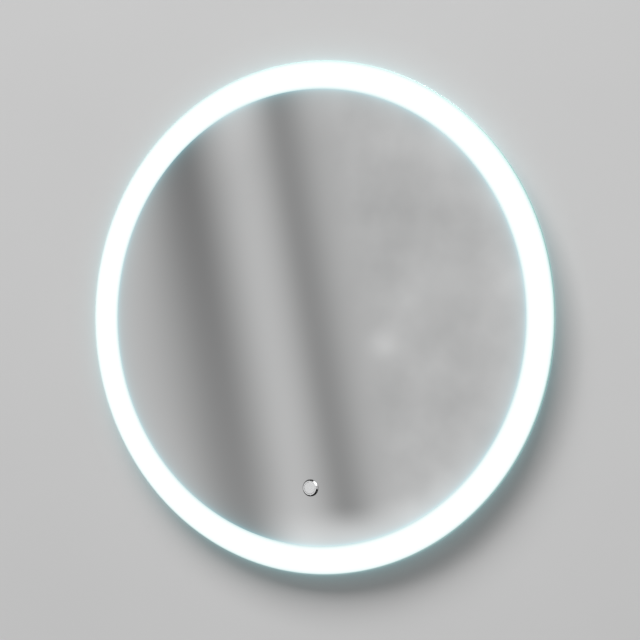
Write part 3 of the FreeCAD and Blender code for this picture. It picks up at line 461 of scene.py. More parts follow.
def circuit_board():
    """Green solder mask over copper tracks."""
    finish = Finish("circuit_board")
    place = finish.place()
    sockets = {"Vector": place, "Scale": 260, "Randomness": 0.25}
    track = finish.add("TexVoronoi", {"feature": "DISTANCE_TO_EDGE"}, sockets).ramp(0.09, 0.14)
    weave = finish.noise(place, 1800, 2)
    mask = finish.mix(weave * 0.4, opaque(0.015, 0.13, 0.05), opaque(0.03, 0.2, 0.08))
    colour = finish.mix(track, opaque(0.06, 0.3, 0.11), mask)
    return finish.surface(colour, 0.24 + weave * 0.14, Normal=finish.bump(1 - track, 0.035 * MM),
                          Coat_Weight=0.3, Coat_Roughness=0.12)


def taped_winding():
    """Yellow polyester tape wound over a coil on a dark core."""
    finish = Finish("taped_winding")
    place = finish.place()
    settings = {"bands_direction": "Y", "wave_profile": "SAW"}
    lap = finish.add("TexWave", settings, {"Vector": place, "Scale": 48, "Distortion": 0.4}, out=1)
    crease = finish.noise(place, 500, 3)
    colour = finish.mix(lap * 0.35 + crease * 0.3, opaque(0.62, 0.42, 0.03), opaque(0.86, 0.66, 0.1))
    return finish.surface(colour, 0.22 + crease * 0.16,
                          Normal=finish.bump(lap * 0.7 + crease * 0.3, 0.08 * MM))


def can_sleeve():
    """A shrunk dark sleeve over a can."""
    finish = Finish("can_sleeve")
    place = finish.place()
    ripple = finish.noise(finish.stretch(place, (1, 4, 1)), 420, 3)
    colour = finish.mix(ripple, opaque(0.012, 0.014, 0.04), opaque(0.03, 0.035, 0.08))
    return finish.surface(colour, 0.16 + ripple * 0.14, Normal=finish.bump(ripple, 0.03 * MM, 0.6),
                          Coat_Weight=0.25, Coat_Roughness=0.15)


def insulation(name, colour, stripe=None):
    """Soft insulation of a lead, with a second colour in bands where it has one."""
    finish = Finish(name)
    place = finish.place()
    matt = finish.noise(place, 1400, 3)
    dark = opaque(*(level * 0.82 for level in colour))
    skin = finish.mix(matt, dark, opaque(*colour))
    if stripe:
        settings = {"bands_direction": "DIAGONAL"}
        band = finish.add("TexWave", settings, {"Vector": place, "Scale": 70}, out=1).ramp(0.48, 0.52)
        skin = finish.mix(band, skin, opaque(*stripe))
    return finish.surface(skin, 0.36 + matt * 0.18, Normal=finish.bump(matt, 0.02 * MM, 0.6))


def strip_circuit():
    """White flexible circuit with its pale copper pads showing through."""
    finish = Finish("strip_circuit")
    place = finish.place()
    film = finish.noise(place, 900, 3)
    pad = finish.noise(finish.stretch(place, (1, 6, 1)), 240, 1).ramp(0.62, 0.66)
    colour = finish.mix(film, opaque(0.86, 0.86, 0.84), opaque(0.93, 0.93, 0.92))
    colour = finish.mix(pad * 0.5, colour, opaque(0.8, 0.62, 0.42))
    return finish.surface(colour, 0.35 + film * 0.15, Normal=finish.bump(pad, 0.03 * MM))


FINISHES = {
    "clear_glass": ground_edge(),
    "silver": back_paint(),
    "opal_acrylic": opal_sheet(),
    "foam": cell_foam("seal_foam", (0.12, 0.12, 0.13)),
    "white_powder_coat": powder_coat("white_powder_coat", (0.82, 0.83, 0.83)),
    "mill_aluminium": rolled_metal("mill_aluminium", (0.86, 0.87, 0.88), (0.68, 0.69, 0.7), 0.3),
    "foam_tape": cell_foam("tape_foam", (0.85, 0.85, 0.84)),
    "strip_board": strip_circuit(),
    "light_chip": light_chip(),
    "white_plastic": moulded("white_plastic", (0.84, 0.84, 0.81)),
    "grey_plastic": moulded("grey_plastic", (0.3, 0.31, 0.32), 0.46, 0.06),
    "black_plastic": moulded("black_plastic", (0.03, 0.03, 0.033), 0.4, 0.04),
    "zinc_steel": rolled_metal("zinc_steel", (0.83, 0.84, 0.86), (0.62, 0.63, 0.64), 0.28, (1, 1, 8), 0.42),
    "screw_steel": rolled_metal("screw_steel", (0.82, 0.82, 0.8), (0.62, 0.61, 0.58), 0.24, (1, 6, 1)),
    "black_rubber": moulded_rubber("black_rubber", (0.022, 0.022, 0.023)),
    "brass_plain": rolled_metal("brass_plain", (0.9, 0.72, 0.36), (0.66, 0.48, 0.2), 0.26, (1, 5, 1)),
    "circuit_board": circuit_board(),
    "coil_yellow": taped_winding(),
    "can_sleeve": can_sleeve(),
    "brown_wire": insulation("brown_wire", (0.2, 0.085, 0.035)),
    "blue_wire": insulation("blue_wire", (0.04, 0.13, 0.45)),
    "green_yellow_wire": insulation("green_yellow_wire", (0.06, 0.36, 0.06), (0.85, 0.75, 0.05)),
    "red_wire": insulation("red_wire", (0.55, 0.03, 0.025)),
    "black_wire": insulation("black_wire", (0.02, 0.02, 0.02)),
    "white_wire": insulation("white_wire", (0.8, 0.8, 0.78)),
    "button_chrome": polished_chrome(),
    "button_satin": satin_face(),
    "spring_steel": rolled_metal("spring_steel", (0.62, 0.62, 0.63), (0.4, 0.4, 0.41), 0.26, (8, 8, 1)),
}


def dress_nodes():
    """Give every node of the frame the finish of its slot."""
    for part in frame["record"]["subparts"]:
        node = frame["nodes"][part["node"]]
        node.data.materials.clear()
        node.data.materials.append(FINISHES[part["material_slot"]])


dress_nodes()

# -------------------------------- modelling

SMOOTH_ANGLE = math.radians(30)
EDGE_ANGLE = math.radians(25)
FOLD_ANGLE = math.radians(40)
WELD = 0.001 * MM
FLAT = 0.99
STEPS_SMALL = 40
STEPS = 128
STEPS_TRAY = 256
STEPS_RIM = 384


def start(make, **settings):
    """Deselect all, add a primitive and open it for editing with all of it selected."""
    bpy.ops.object.select_all(action="DESELECT")
    make(**settings)
    piece = bpy.context.active_object
    bpy.ops.object.mode_set(mode="EDIT")
    bpy.ops.mesh.select_mode(type="VERT")
    bpy.ops.mesh.select_all(action="SELECT")
    return piece


def close(piece, name):
    """Merge doubles, turn the faces outwards and leave edit mode."""
    bpy.ops.mesh.select_all(action="SELECT")
    bpy.ops.mesh.remove_doubles(threshold=WELD)
    bpy.ops.mesh.normals_make_consistent(inside=False)
    bpy.ops.object.mode_set(mode="OBJECT")
    bpy.ops.object.transform_apply(location=True, rotation=True, scale=True)
    bpy.ops.object.shade_smooth_by_angle(angle=SMOOTH_ANGLE)
    piece.name = piece.data.name = name
    return piece


def finish_with(piece, kind, **settings):
    """Add a modifier and apply it."""
    bpy.ops.object.select_all(action="DESELECT")
    piece.select_set(True)
    bpy.context.view_layer.objects.active = piece
    modifier = piece.modifiers.new(kind.lower(), kind)
    for name, value in settings.items():
        setattr(modifier, name, value)
    bpy.ops.object.modifier_apply(modifier=modifier.name)


def soften(piece, width, segments=2):
    """Round the piece's hard edges a little."""
    finish_with(piece, "BEVEL", width=width, segments=segments, limit_method="ANGLE",
                angle_limit=EDGE_ANGLE, use_clamp_overlap=True)
    bpy.ops.object.shade_smooth_by_angle(angle=SMOOTH_ANGLE)


def turned(name, profile, x=0.0, z=0.0, steps=STEPS, closed=True):
    """A round piece spun about an axis along the depth, from pairs of radius and depth.

    The profile closes on itself, unless both of its ends lie on the axis.
    """
    spots = [Vector((x + radius, y, z)) for radius, y in profile]
    closed = closed and max(profile[0][0], profile[-1][0]) > 0
    piece = start(bpy.ops.mesh.primitive_plane_add, size=MM, location=spots[0])
    bpy.ops.mesh.merge(type="CENTER")
    for before, after in zip(spots, spots[1:] + (spots[:1] if closed else [])):
        bpy.ops.mesh.extrude_region_move(TRANSFORM_OT_translate={"value": after - before})
    bpy.ops.mesh.select_all(action="SELECT")
    bpy.ops.mesh.spin(steps=steps, angle=math.tau, center=(x, 0, z), axis=(0, 1, 0))
    return close(piece, name)


def rounded(profile, steps=4):
    """A profile with round corners, from radius, depth and rounding of each corner."""
    spots = [Vector((radius, depth, 0)) for radius, depth, rounding in profile]
    outline = []
    for index, (here, (radius, depth, rounding)) in enumerate(zip(spots, profile)):
        if not rounding:
            outline.append((radius, depth))
            continue
        before = (spots[index - 1] - here).normalized()
        after = (spots[(index + 1) % len(spots)] - here).normalized()
        half = before.angle(after) / 2
        centre = here + (before + after).normalized() * rounding / math.sin(half)
        first = (here + before * rounding / math.tan(half) - centre).normalized()
        last = (here + after * rounding / math.tan(half) - centre).normalized()
        for step in range(steps + 1):
            spot = centre + first.slerp(last, step / steps) * rounding
            outline.append((spot.x, spot.y))
    return outline


def round_corners(piece, low, high, radius):
    """In edit mode, round the four edges along the depth at the corners of a plate's box."""
    bpy.ops.mesh.select_mode(type="EDGE")
    bpy.ops.mesh.select_all(action="DESELECT")
    mesh = bmesh.from_edit_mesh(piece.data)
    low, high = low - piece.location, high - piece.location
    slack = 0.01 * MM
    for edge in mesh.edges:
        edge.select_set(all(
            min(abs(end.co.x - low.x), abs(end.co.x - high.x)) < slack
            and min(abs(end.co.z - low.z), abs(end.co.z - high.z)) < slack for end in edge.verts
        ) and abs(edge.verts[0].co.y - edge.verts[1].co.y) > slack)
    bmesh.update_edit_mesh(piece.data)
    bpy.ops.mesh.bevel(offset=radius, segments=10, affect="EDGES")


def slab(name, low, high, corner=0.0):
    """A flat plate that faces along the depth, from its lowest to its highest corner."""
    centre = (low + high) / 2
    piece = start(bpy.ops.mesh.primitive_cube_add, size=1, location=centre)
    bpy.ops.transform.resize(value=high - low, center_override=centre)
    if corner:
        round_corners(piece, low, high, corner)
    return close(piece, name)


def rods(spots, front, back, radius):
    """Round cutters along the depth, at spots of x and z."""
    made = []
    for x, z in spots:
        bpy.ops.object.select_all(action="DESELECT")
        bpy.ops.mesh.primitive_cylinder_add(
            vertices=STEPS_SMALL, radius=radius, depth=back - front,
            location=(x, (front + back) / 2, z), rotation=(math.pi / 2, 0, 0),
        )
        made.append(bpy.context.active_object)
    return made


def cut_away(piece, cutters):
    """Cut shapes that don't touch each other out of a piece, and throw the cutters away."""
    bpy.ops.object.select_all(action="DESELECT")
    for cutter in cutters:
        cutter.select_set(True)
    bpy.context.view_layer.objects.active = cutters[0]
    if len(cutters) > 1:
        bpy.ops.object.join()
    cutter = bpy.context.active_object
    finish_with(piece, "BOOLEAN", object=cutter, operation="DIFFERENCE", solver="EXACT")
    bpy.data.objects.remove(cutter)


def flatten(piece):
    """Shade the faces that look straight to the front or back flat, so that long thin ones stay even."""
    for face in piece.data.polygons:
        face.use_smooth = abs(face.normal.y) < FLAT


def repeat(pattern, name, spots, turns=(0,)):
    """Copies of a pattern that stands on the axis, each with its own mesh, moved to spots of x and z."""
    copies = []
    for index, (x, z) in enumerate(spots):
        bpy.ops.object.select_all(action="DESELECT")
        pattern.select_set(True)
        bpy.context.view_layer.objects.active = pattern
        bpy.ops.object.duplicate(linked=False)
        copy = bpy.context.active_object
        turn = math.radians(turns[index % len(turns)])
        bpy.ops.transform.rotate(value=turn, orient_axis="Y", center_override=(0, 0, 0))
        bpy.ops.transform.translate(value=(x, 0, z))
        bpy.ops.object.transform_apply(location=True, rotation=True, scale=True)
        copy.name = copy.data.name = f"{name}_{index + 1}"
        copies.append(copy)
    bpy.data.objects.remove(pattern)
    return copies


def paint(piece, materials, choose=None):
    """Give a piece its materials, and each face the one that a rule picks by its place and normal."""
    piece.data.materials.clear()
    for material in materials:
        piece.data.materials.append(material)
    for face in piece.data.polygons:
        face.material_index = choose(face.center, face.normal) if choose else 0


def fit(piece, body, slot, *nodes):
    """Let the piece ride on a body, in place of nodes of the frame. The slot is not used."""
    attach(piece, body)
    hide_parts(*nodes)


# -------------------------------- the mirror plate


def make_plate():
    """Float glass with a ground rim, silvered inside the band and drilled for the button."""
    flat = MIRROR_RADIUS - ARRIS
    plate = turned("mirror_plate", [
        (0, GLASS_FRONT), (SILVER_RADIUS, GLASS_FRONT), (flat, GLASS_FRONT),
        (MIRROR_RADIUS, GLASS_FRONT + ARRIS), (MIRROR_RADIUS, GLASS_BACK - ARRIS),
        (flat, GLASS_BACK), (0, GLASS_BACK),
    ], steps=STEPS_RIM)
    cut_away(plate, rods([(0, BUTTON_Z)], GLASS_FRONT - MM, GLASS_BACK + MM, HOLE_RADIUS))
    soften(plate, GLASS_EDGE)

    silver, band, edge, back = range(4)

    def choose(centre, normal):
        """Silver and band in front, paint behind the silver, ground edge elsewhere."""
        radius = math.hypot(centre.x, centre.z)
        if normal.y < -FLAT and radius < flat:
            return silver if radius < SILVER_RADIUS else band
        return back if normal.y > FLAT and radius < SILVER_RADIUS else edge

    paint(plate, [mirror_silver(), lit_band(), FINISHES["clear_glass"], FINISHES["silver"]], choose)
    flatten(plate)
    fit(plate, "mirror", "clear_glass", "mirror_glass")


make_plate()

# -------------------------------- the push button


def make_bezel():
    """The chromed bezel with its broad chamfer, and the barrel behind it."""
    front = BUTTON_FRONT
    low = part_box("button_seal")[0].y
    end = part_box("button_bezel")[1].y
    shelf = front + SHELF_DEPTH
    bezel = turned("bezel_ring", [
        (BORE, front), (BEZEL_RADIUS - BEZEL_CHAMFER, front), (BEZEL_RADIUS, front + BEZEL_CHAMFER),
        (BEZEL_RADIUS, low), (BARREL_RADIUS, low), (BARREL_RADIUS, end), (BORE, end),
        (BORE, shelf + SHELF_THICKNESS), (STEM_HOLE, shelf + SHELF_THICKNESS),
        (STEM_HOLE, shelf), (BORE, shelf),
    ], z=BUTTON_Z)
    soften(bezel, BUTTON_EDGE, 3)
    paint(bezel, [FINISHES["button_chrome"], FINISHES["button_satin"]],
          lambda centre, normal: int(normal.y < -SATIN_FACES and centre.y < front + SATIN_DEPTH))
    fit(bezel, "mirror", "button_chrome", "button_bezel")


def make_cap():
    """The satin cap with its softened edge and its stem."""
    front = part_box("button_cap")[0].y
    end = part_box("button_cap")[1].y
    under = front + CAP_HEIGHT
    cap = turned("button_face", [
        (0, front), (CAP_RADIUS - CAP_EDGE, front), (CAP_RADIUS, front + CAP_EDGE), (CAP_RADIUS, under),
        (STEM_RADIUS, under), (STEM_RADIUS, end), (0, end),
    ], z=BUTTON_Z)
    soften(cap, BUTTON_EDGE, 3)
    paint(cap, [FINISHES["button_satin"]])
    fit(cap, "button", "button_satin", "button_cap")


make_bezel()
make_cap()

# -------------------------------- the tray and what shows on its back

GAUGE = 1 * MM
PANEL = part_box("service_cover")[0].y
PANEL_RADIUS = 256 * MM
FOOT = (262 * MM, 270 * MM)
RIM_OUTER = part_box("rear_tray")[1].x
RIM_INNER = 293 * MM
RIM_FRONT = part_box("rear_tray")[0].y
RIM_ROUND = 0.3 * MM
SLOPE_START = 1.35 * MM
DRAFT_START = 0.5 * MM
BEND = 1.4 * MM
SEAL_INSET = 0.5 * MM
SEAL_ROUND = 0.4 * MM

SCREW_RADIUS = 1.5 * MM
SCREW_HOLE = 1.6 * MM
SCREW_LENGTH = 4 * MM
SCREW_TIP = 0.6 * MM
SCREW_HEAD = (3 * MM, 2 * MM)
SCREW_TOP = 1.3 * MM
SCREW_RIM = 0.55
SCREW_CROSS = (0.4 * MM, 1.7 * MM)
THREAD_PITCH = 0.6 * MM
THREAD_DEPTH = 0.25 * MM
THREAD_START = 0.3 * MM
THREADS = 5

RIVET_RADIUS = 1.6 * MM
RIVET_HEAD = (3.4 * MM, 1.2 * MM)
RIVET_TOP = 1.7 * MM
RIVET_RIM = 0.3 * MM
RIVET_MOUTH = (0.75 * MM, 0.8 * MM)
RIVET_FLOOR = 0.4 * MM
RIVET_TAIL = (2.6 * MM, 2.3 * MM)
CARRIER_GRIP = 2.5 * MM
CARRIER_CIRCLE = 245 * MM
CARRIER_TURNS = [math.radians(22.5 + 45 * number) for number in range(8)]

HANGER_GAUGE = 2 * MM
HANGER_HAT = 40 * MM
HANGER_CORNER = 4 * MM
HANGER_EDGE = 0.2 * MM
KEYHOLE = 5.5 * MM
KEYHOLE_SLOT = 5.5 * MM
KEYHOLE_RISE = 12 * MM
SLOT_ROUNDING = 0.98

OPENING = (120 * MM, 70 * MM)
OPENING_CORNER = 8 * MM
COVER_CORNER = 6 * MM
COVER_EDGE = 0.25 * MM
GROMMET_X = -42 * MM
GROMMET_NECK = 7 * MM
GROMMET_BORE = 4 * MM
GROMMET_LIP = 9 * MM
GROMMET_FLANGE = 9.5 * MM
GROOVE_DEPTH = 0.5 * MM
GROOVE = (5.4 * MM, 5.6 * MM, 6.4 * MM, 6.6 * MM)


def both_ways(x, z):
    """The four spots at plus and minus x and z."""
    return [(x * side, z * level) for side in (1, -1) for level in (1, -1)]


def around(node, spots):
    """Spots moved to the middle of a node's box."""
    low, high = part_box(node)
    return [(x + (low.x + high.x) / 2, z + (low.z + high.z) / 2) for x, z in spots]


COVER_SCREWS = both_ways(65 * MM, 40 * MM)
CLAMP_SCREWS = [(-18 * MM, 9.75 * MM), (-18 * MM, -9.75 * MM)]
DRIVER_SCREWS = [(76 * MM, 110 * MM), (-76 * MM, 110 * MM)]
HANGER_HOLES = both_ways(26 * MM, 20 * MM)
HANGER_RIVETS = around("hanger_plate_left", HANGER_HOLES) + around("hanger_plate_right", HANGER_HOLES)
CARRIER_RIVETS = [
    (CARRIER_CIRCLE * math.cos(turn), CARRIER_CIRCLE * math.sin(turn)) for turn in CARRIER_TURNS
]


def make_tray():
    """The spun tray: rim, slope, foot and the panel set in from the wall, with its holes."""
    slope = (RIM_INNER + SLOPE_START - FOOT[1]) / -RIM_FRONT
    rim_back = RIM_FRONT + GAUGE
    tray = turned("tray_shell", rounded([
        (0, PANEL, 0), (PANEL_RADIUS, PANEL, BEND), (FOOT[0], 0, BEND), (FOOT[1], 0, BEND),
        (FOOT[1] - slope * rim_back, rim_back, BEND), (RIM_OUTER, rim_back, RIM_ROUND),
        (RIM_OUTER, RIM_FRONT, RIM_ROUND), (RIM_INNER, RIM_FRONT, RIM_ROUND),
        (FOOT[1] - SLOPE_START + slope * GAUGE, -GAUGE, 0), (FOOT[0] + DRAFT_START, -GAUGE, 0),
        (PANEL_RADIUS + DRAFT_START, PANEL - GAUGE, BEND), (0, PANEL - GAUGE, 0),
    ]), steps=STEPS_TRAY)
    through = (PANEL - 2 * GAUGE, PANEL + GAUGE)
    wide, tall = OPENING[0] / 2, OPENING[1] / 2
    low, high = Vector((-wide, through[0], -tall)), Vector((wide, through[1], tall))
    opening = slab("opening", low, high, OPENING_CORNER)
    screws = rods(COVER_SCREWS + DRIVER_SCREWS, *through, SCREW_HOLE)
    cut_away(tray, [opening] + screws + rods(HANGER_RIVETS + CARRIER_RIVETS, *through, RIVET_RADIUS))
    paint(tray, [FINISHES["white_powder_coat"]])
    flatten(tray)
    fit(tray, "mirror", "white_powder_coat", "rear_tray")


def make_seal():
    """The foam ring between the tray's rim and the glass."""
    low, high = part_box("rim_seal")
    inner, outer = RIM_INNER + SEAL_INSET, high.x
    seal = turned("seal_ring", rounded([
        (inner, low.y, SEAL_ROUND), (outer, low.y, SEAL_ROUND),
        (outer, high.y, SEAL_ROUND), (inner, high.y, SEAL_ROUND),
    ], 3), steps=STEPS_TRAY)
    paint(seal, [FINISHES["foam"]])
    fit(seal, "mirror", "foam", "rim_seal")


def make_cover():
    """The service cover with its softened edges and its holes."""
    low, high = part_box("service_cover")
    cover = slab("cover_plate", low, high, COVER_CORNER)
    through = (low.y - MM, high.y + MM)
    cut_away(cover, rods([(GROMMET_X, 0)], *through, GROMMET_NECK)
             + rods(COVER_SCREWS + CLAMP_SCREWS, *through, SCREW_HOLE))
    soften(cover, COVER_EDGE, 3)
    paint(cover, [FINISHES["white_powder_coat"]])
    flatten(cover)
    fit(cover, "mirror", "white_powder_coat", "service_cover")


def make_grommet():
    """The rubber grommet with soft lips and a moulded groove round its bore."""
    front, face = (corner.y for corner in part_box("cable_grommet"))
    floor = face - GROOVE_DEPTH
    grommet = turned("grommet_ring", rounded([
        (GROMMET_BORE, face, 0.6 * MM), (GROOVE[0], face, 0.15 * MM), (GROOVE[1], floor, 0.12 * MM),
        (GROOVE[2], floor, 0.12 * MM), (GROOVE[3], face, 0.15 * MM), (GROMMET_LIP, face, 0.9 * MM),
        (GROMMET_FLANGE, PANEL + GAUGE, 0.2 * MM), (GROMMET_NECK, PANEL + GAUGE, 0),
        (GROMMET_NECK, PANEL, 0), (GROMMET_FLANGE, PANEL, 0.2 * MM),
        (GROMMET_LIP, front, 0.9 * MM), (GROMMET_BORE, front, 0.6 * MM),
    ]), x=GROMMET_X)
    paint(grommet, [FINISHES["black_rubber"]])
    fit(grommet, "mirror", "black_rubber", "cable_grommet")


def make_hanger(name, node):
    """A hat-shaped hanger folded from sheet, with its keyhole and rivet holes."""
    low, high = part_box(node)
    x, z = (low.x + high.x) / 2, (low.z + high.z) / 2
    flange, top = low.y + HANGER_GAUGE / 2, high.y - HANGER_GAUGE / 2
    wall = (HANGER_HAT - HANGER_GAUGE) / 2
    line = [
        (low.x, flange), (x - wall, flange), (x - wall, top),
        (x + wall, top), (x + wall, flange), (high.x, flange),
    ]
    spots = [Vector((across, depth, low.z)) for across, depth in line]
    sheet = start(bpy.ops.mesh.primitive_plane_add, size=MM, location=spots[0])
    bpy.ops.mesh.merge(type="CENTER")
    for before, after in zip(spots, spots[1:]):
        bpy.ops.mesh.extrude_region_move(TRANSFORM_OT_translate={"value": after - before})
    bpy.ops.mesh.select_all(action="SELECT")
    bpy.ops.mesh.extrude_region_move(TRANSFORM_OT_translate={"value": (0, 0, high.z - low.z)})
    close(sheet, name)
    finish_with(sheet, "BEVEL", width=HANGER_GAUGE, segments=5, limit_method="ANGLE", angle_limit=FOLD_ANGLE)
    finish_with(sheet, "SOLIDIFY", thickness=HANGER_GAUGE, offset=0, use_even_offset=True)
    bpy.ops.object.mode_set(mode="EDIT")
    round_corners(sheet, low, high, HANGER_CORNER)
    bpy.ops.object.mode_set(mode="OBJECT")
    through = (low.y - MM, high.y + MM)
    cut_away(sheet, rods([(x, z)], *through, KEYHOLE))
    half = KEYHOLE_SLOT / 2
    slot_low = Vector((x - half, through[0], z))
    slot_high = Vector((x + half, through[1], z + KEYHOLE_RISE + half))
    cut_away(sheet, [slab("slot", slot_low, slot_high, half * SLOT_ROUNDING)])
    soften(sheet, HANGER_EDGE)
    cut_away(sheet, rods(around(node, HANGER_HOLES), *through, RIVET_RADIUS))
    paint(sheet, [FINISHES["zinc_steel"]])
    flatten(sheet)
    fit(sheet, "mirror", "zinc_steel", node)


def make_rivets(name, node, seat, grip, spots):
    """Pop rivets with domed heads, open where the mandrel broke off."""
    head, rise = RIVET_HEAD
    floor, end = seat + RIVET_FLOOR, seat - grip - rise
    pattern = turned("rivet_pattern", rounded([
        (0, floor, 0), (RIVET_MOUTH[0], floor, 0.1 * MM), (RIVET_MOUTH[1], seat + rise, 0.12 * MM),
        (RIVET_TOP, seat + rise, 0.8 * MM), (head, seat + RIVET_RIM, 0.2 * MM), (head, seat, 0.05 * MM),
        (RIVET_RADIUS, seat, 0), (RIVET_RADIUS, seat - grip, 0), (RIVET_TAIL[0], seat - grip, 0.2 * MM),
        (RIVET_TAIL[1], end, 0.4 * MM), (0, end, 0),
    ]), steps=STEPS_SMALL)
    paint(pattern, [FINISHES["mill_aluminium"]])
    for rivet in repeat(pattern, name, spots):
        fit(rivet, "mirror", "mill_aluminium", node)


def make_screws(name, node, seat, way, spots, turns):
    """Pan-head screws with a cross and a thread; way is 1 for heads that look to the wall, or -1."""
    head, rise = SCREW_HEAD
    profile = [
        (0, rise, 0), (SCREW_TOP, rise, 0.8 * MM), (head, rise * SCREW_RIM, 0.5 * MM), (head, 0, 0.1 * MM),
        (SCREW_RADIUS, 0, 0),
    ]
    for number in range(THREADS):
        level = -THREAD_START - number * THREAD_PITCH
        profile += [(SCREW_RADIUS, level, 0), (SCREW_RADIUS - THREAD_DEPTH, level - THREAD_PITCH / 2, 0)]
    profile += [(SCREW_TIP, -SCREW_LENGTH, 0.15 * MM), (0, -SCREW_LENGTH, 0)]
    placed = [(radius, seat + way * level, rounding) for radius, level, rounding in profile]
    pattern = turned("screw_pattern", rounded(placed), steps=STEPS_SMALL)
    tip = seat + way * rise
    for wide, tall in (SCREW_CROSS, SCREW_CROSS[::-1]):
        cut_away(pattern, [slab("cross", Vector((-wide, tip - MM, -tall)), Vector((wide, tip + MM, tall)))])
    paint(pattern, [FINISHES["screw_steel"]])
    for screw in repeat(pattern, name, spots, turns):
        fit(screw, "mirror", "screw_steel", node)


def under_head(node):
    """Where the heads of screws that look into the tray rest."""
    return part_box(node)[0].y + SCREW_HEAD[1]


make_tray()
make_seal()
make_cover()
make_grommet()
make_hanger("hanger_left", "hanger_plate_left")
make_hanger("hanger_right", "hanger_plate_right")
make_rivets("hanger_rivet", "hanger_rivets", PANEL + HANGER_GAUGE, HANGER_GAUGE + GAUGE, HANGER_RIVETS)
make_rivets("carrier_rivet", "carrier_rivets", PANEL, CARRIER_GRIP, CARRIER_RIVETS)
make_screws("cover_screw", "cover_screws", PANEL + GAUGE, 1, COVER_SCREWS, (17, 68, 41, 5))
make_screws("clamp_screw", "clamp_screws", under_head("clamp_screws"), -1, CLAMP_SCREWS, (9, 52))
make_screws("driver_screw", "driver_screws", under_head("driver_screws"), -1, DRIVER_SCREWS, (31, 74))

# -------------------------------- wall, floor and light

WALL_GREY = 0.585
SHEET_WIDTH = 12.0
WALL_GAP = 0.5 * MM
FLOOR_GREY = 0.7
FLOOR_LEVEL = -1.6
AMBIENT = 0.35
BACKDROP = 0.72
KEY_DISTANCE = 9.0
KEY_SIZE = (8.0, 5.2)
KEY_POWER = 840
KEY_FROM = Vector((-0.06, -0.66, 0.727))
REAR_DISTANCE = 5.0
REAR_FROM = Vector((-0.3, 0.8, 0.45))
REAR_SIZE = (2.0, 2.0)
REAR_POWER = 120

# What the glass reflects: soft slanted bands on pale grey, laid out in metres on the glass as the camera
# sees it, and repeated sideways. Each band has its place across, its lean, and its width to the left and
# right. The other pairs, apart from the spot's place, say where a change starts and where it is complete.
GRAZING = 0.05
PLAIN_LEVEL = 0.432
PLAIN_CLOUD = 0.06
CLOUD_SCALE = 2.2
BANDS_REPEAT = 1.1
LEFT_BAND = (-0.137, 0.206, 0.062, 0.045)
LEFT_DARK = 0.5
LEFT_DARKER_UP = 0.35
MIDDLE_BAND = (0.002, 0.2, 0.03, 0.036)
MIDDLE_DARK = 0.395
MIDDLE_END = (-0.255, -0.215)
PALE_BAND = (-0.062, 0.2, 0.03, 0.03)
PALE_LIFT = 0.06
MOTTLE = 0.22
MOTTLE_SCALE = 13
MOTTLE_START = (0.03, 0.1)
SPOT = (0.094, -0.03)
SPOT_WIDTH = 0.018
SPOT_LIFT = 0.1
LOW_LIFT = 0.12
LOW_RADIUS = (0.222, 0.262)
LOW_ACROSS = (-0.08, 0.01)
LOW_DOWN = (0.12, 0.22)
OUTER_LIFT = 0.06
OUTER_RADIUS = (0.19, 0.275)
RIGHT_LIFT = 0.035
RIGHT_ACROSS = (0.03, 0.2)
PLAIN_LEFT = (-0.55, -0.3)
PLAIN_RIGHT = (0.3, 0.55)
PLAIN_AHEAD = (0.55, 0.65)
FLOOR_DARK = 0.5
FLOOR_START = (0.2, 0.8)

# The dark and bright parts of the light beside the mirror, which the button's chamfer reflects.
BESIDE = (-0.5, 0.56)
BESIDE_SOFT = 0.06
BESIDE_BELOW = (0.08, 0.3)
BESIDE_ABOVE = (0.8, 0.88)
BESIDE_LEFT = (0.4, 0.6)
BESIDE_LEFT_DEPTH = (-0.3, 0)
BESIDE_LEFT_SHARE = 0.65
BESIDE_DARK = 0.93
SOFTBOX = Vector((0.54, -0.36, 0.76)).normalized()
SOFTBOX_EDGE = (0.84, 0.94)
SOFTBOX_LIFT = 1.1

# The painted glow round the rim: its share of the light and how far it reaches.
HALO_DEPTH = GLASS_FRONT + 2 * MM
HALO_RADII = (MIRROR_RADIUS + 0.1 * MM, MIRROR_RADIUS + 40 * MM)
HALO_CLOSE = (0.16, 1.3 * MM)
HALO_WIDE = (0.105, 9 * MM)
HALO_CLOSE_COLOUR = opaque(0.6, 0.95, 1.0)
HALO_WIDE_COLOUR = opaque(0.08, 0.9, 1.0)


def backdrop(name, finish, location, rotation):
    """A large plain surface behind or under the object, seen from its front only."""
    bpy.ops.object.select_all(action="DESELECT")
    bpy.ops.mesh.primitive_plane_add(size=SHEET_WIDTH, location=location, rotation=rotation)
    sheet = bpy.context.active_object
    sheet.name = name
    bpy.ops.object.transform_apply(location=True, rotation=True, scale=True)
    sheet.data.materials.append(finish)
    keep_from_rays(sheet)


def keep_from_rays(sheet):
    """Show a surface to the camera alone, so that it neither lights nor shades the object."""
    sheet.visible_shadow = False
    sheet.visible_diffuse = False
    sheet.visible_glossy = False
    sheet.visible_transmission = False


def plaster(name, level):
    """Smooth, faintly uneven paint, clear from behind."""
    finish = Finish(name)
    place = finish.place()
    cloud = finish.noise(place, 3.2, 3, 0.5)
    grain = finish.noise(place, 420, 2)
    colour = finish.mix(cloud, grey(level * 0.97), grey(level * 1.03))
    front = finish.add("BsdfPrincipled", None, {
        "Base Color": colour, "Roughness": 0.9, "Specular IOR Level": 0.1,
        "Normal": finish.bump(grain, 0.02 * MM, 0.5),
    })
    clear = finish.add("BsdfTransparent")
    behind = finish.add("NewGeometry", out="Backfacing")
    shader = finish.add("MixShader", None, {0: behind, 1: front, 2: clear})
    finish.add("OutputMaterial", None, {"Surface": shader})
    return finish.material


